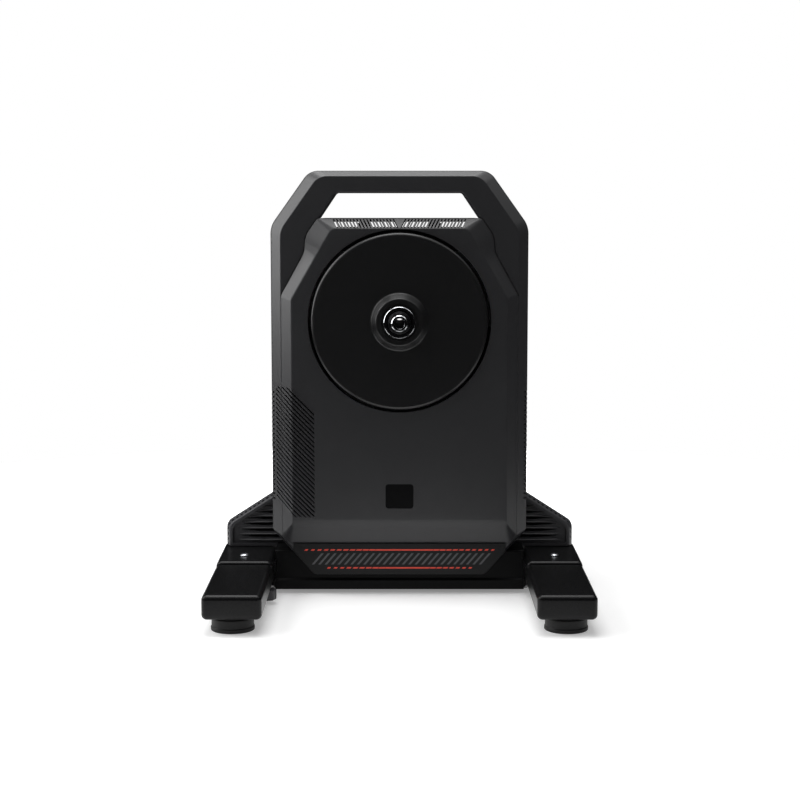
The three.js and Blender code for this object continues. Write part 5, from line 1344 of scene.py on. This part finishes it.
class TRAINER_OT_trim(bpy.types.Operator):
    """Builds the lower plate with its print, the side grilles and the cover screws"""
    bl_idname = "trainer.trim"
    bl_label = "Plate, Grilles and Screws"

    def execute(self, context):
        lower_apron()
        apron_print()
        side_grille(-1)
        side_grille(1)
        cover_screws()
        return {"FINISHED"}


class TRAINER_OT_hub(bpy.types.Operator):
    """Builds the disc, the cap, the axle's ends and the freehub"""
    bl_idname = "trainer.hub"
    bl_label = "Disc and Axle"

    def execute(self, context):
        hub_disc()
        axle_end()
        freehub()
        return {"FINISHED"}


class TRAINER_OT_base(bpy.types.Operator):
    """Builds the beam, the blocks and their bolts"""
    bl_idname = "trainer.base"
    bl_label = "Beam and Blocks"

    def execute(self, context):
        cross_beam()
        base_block(-1)
        base_block(1)
        base_bolts()
        return {"FINISHED"}


class TRAINER_OT_legs(bpy.types.Operator):
    """Builds the four legs, their feet and the lock knob"""
    bl_idname = "trainer.legs"
    bl_label = "Legs and Feet"

    def execute(self, context):
        for side in (-1, 1):
            for end in (-1, 1):
                folding_leg(side, end)
                rubber_foot(side, end)
        lock_knob()
        return {"FINISHED"}


class TRAINER_OT_housing(bpy.types.Operator):
    """Builds the rear housing, its inlet and its lamp"""
    bl_idname = "trainer.housing"
    bl_label = "Rear Housing"

    def execute(self, context):
        rear_housing()
        housing_fittings()
        return {"FINISHED"}


class TRAINER_OT_inner(bpy.types.Operator):
    """Gives the drive, the brake and the other inner parts their finishes"""
    bl_idname = "trainer.inner"
    bl_label = "Inner Parts"

    def execute(self, context):
        inner_parts()
        return {"FINISHED"}


STEPS = (
    TRAINER_OT_stage, TRAINER_OT_shells, TRAINER_OT_trim, TRAINER_OT_hub, TRAINER_OT_base,
    TRAINER_OT_legs, TRAINER_OT_housing, TRAINER_OT_inner,
)


class TRAINER_PT_panel(bpy.types.Panel):
    """Lists the trainer's steps and settings"""
    bl_label = "Bike Trainer"
    bl_space_type = "VIEW_3D"
    bl_region_type = "UI"
    bl_category = "Trainer"

    def draw(self, context):
        for step in STEPS:
            self.layout.operator(step.bl_idname)
        scene = context.scene
        for settings in (scene.trainer_colours, scene.trainer_shape, scene.trainer_light):
            for name in settings.bl_rna.properties.keys():
                if name not in ("rna_type", "name"):
                    self.layout.prop(settings, name)


CLASSES = (TrainerColours, TrainerShape, TrainerLight, *STEPS, TRAINER_PT_panel)


def register():
    for cls in CLASSES:
        bpy.utils.register_class(cls)
    bpy.types.Scene.trainer_colours = bpy.props.PointerProperty(type=TrainerColours)
    bpy.types.Scene.trainer_shape = bpy.props.PointerProperty(type=TrainerShape)
    bpy.types.Scene.trainer_light = bpy.props.PointerProperty(type=TrainerLight)


def unregister():
    del bpy.types.Scene.trainer_light
    del bpy.types.Scene.trainer_shape
    del bpy.types.Scene.trainer_colours
    for cls in reversed(CLASSES):
        bpy.utils.unregister_class(cls)


def main():
    """Builds every piece in order."""
    register()
    bpy.ops.trainer.stage()
    bpy.ops.trainer.shells()
    bpy.ops.trainer.trim()
    bpy.ops.trainer.hub()
    bpy.ops.trainer.base()
    bpy.ops.trainer.legs()
    bpy.ops.trainer.housing()
    bpy.ops.trainer.inner()


if __name__ == "__main__":
    main()
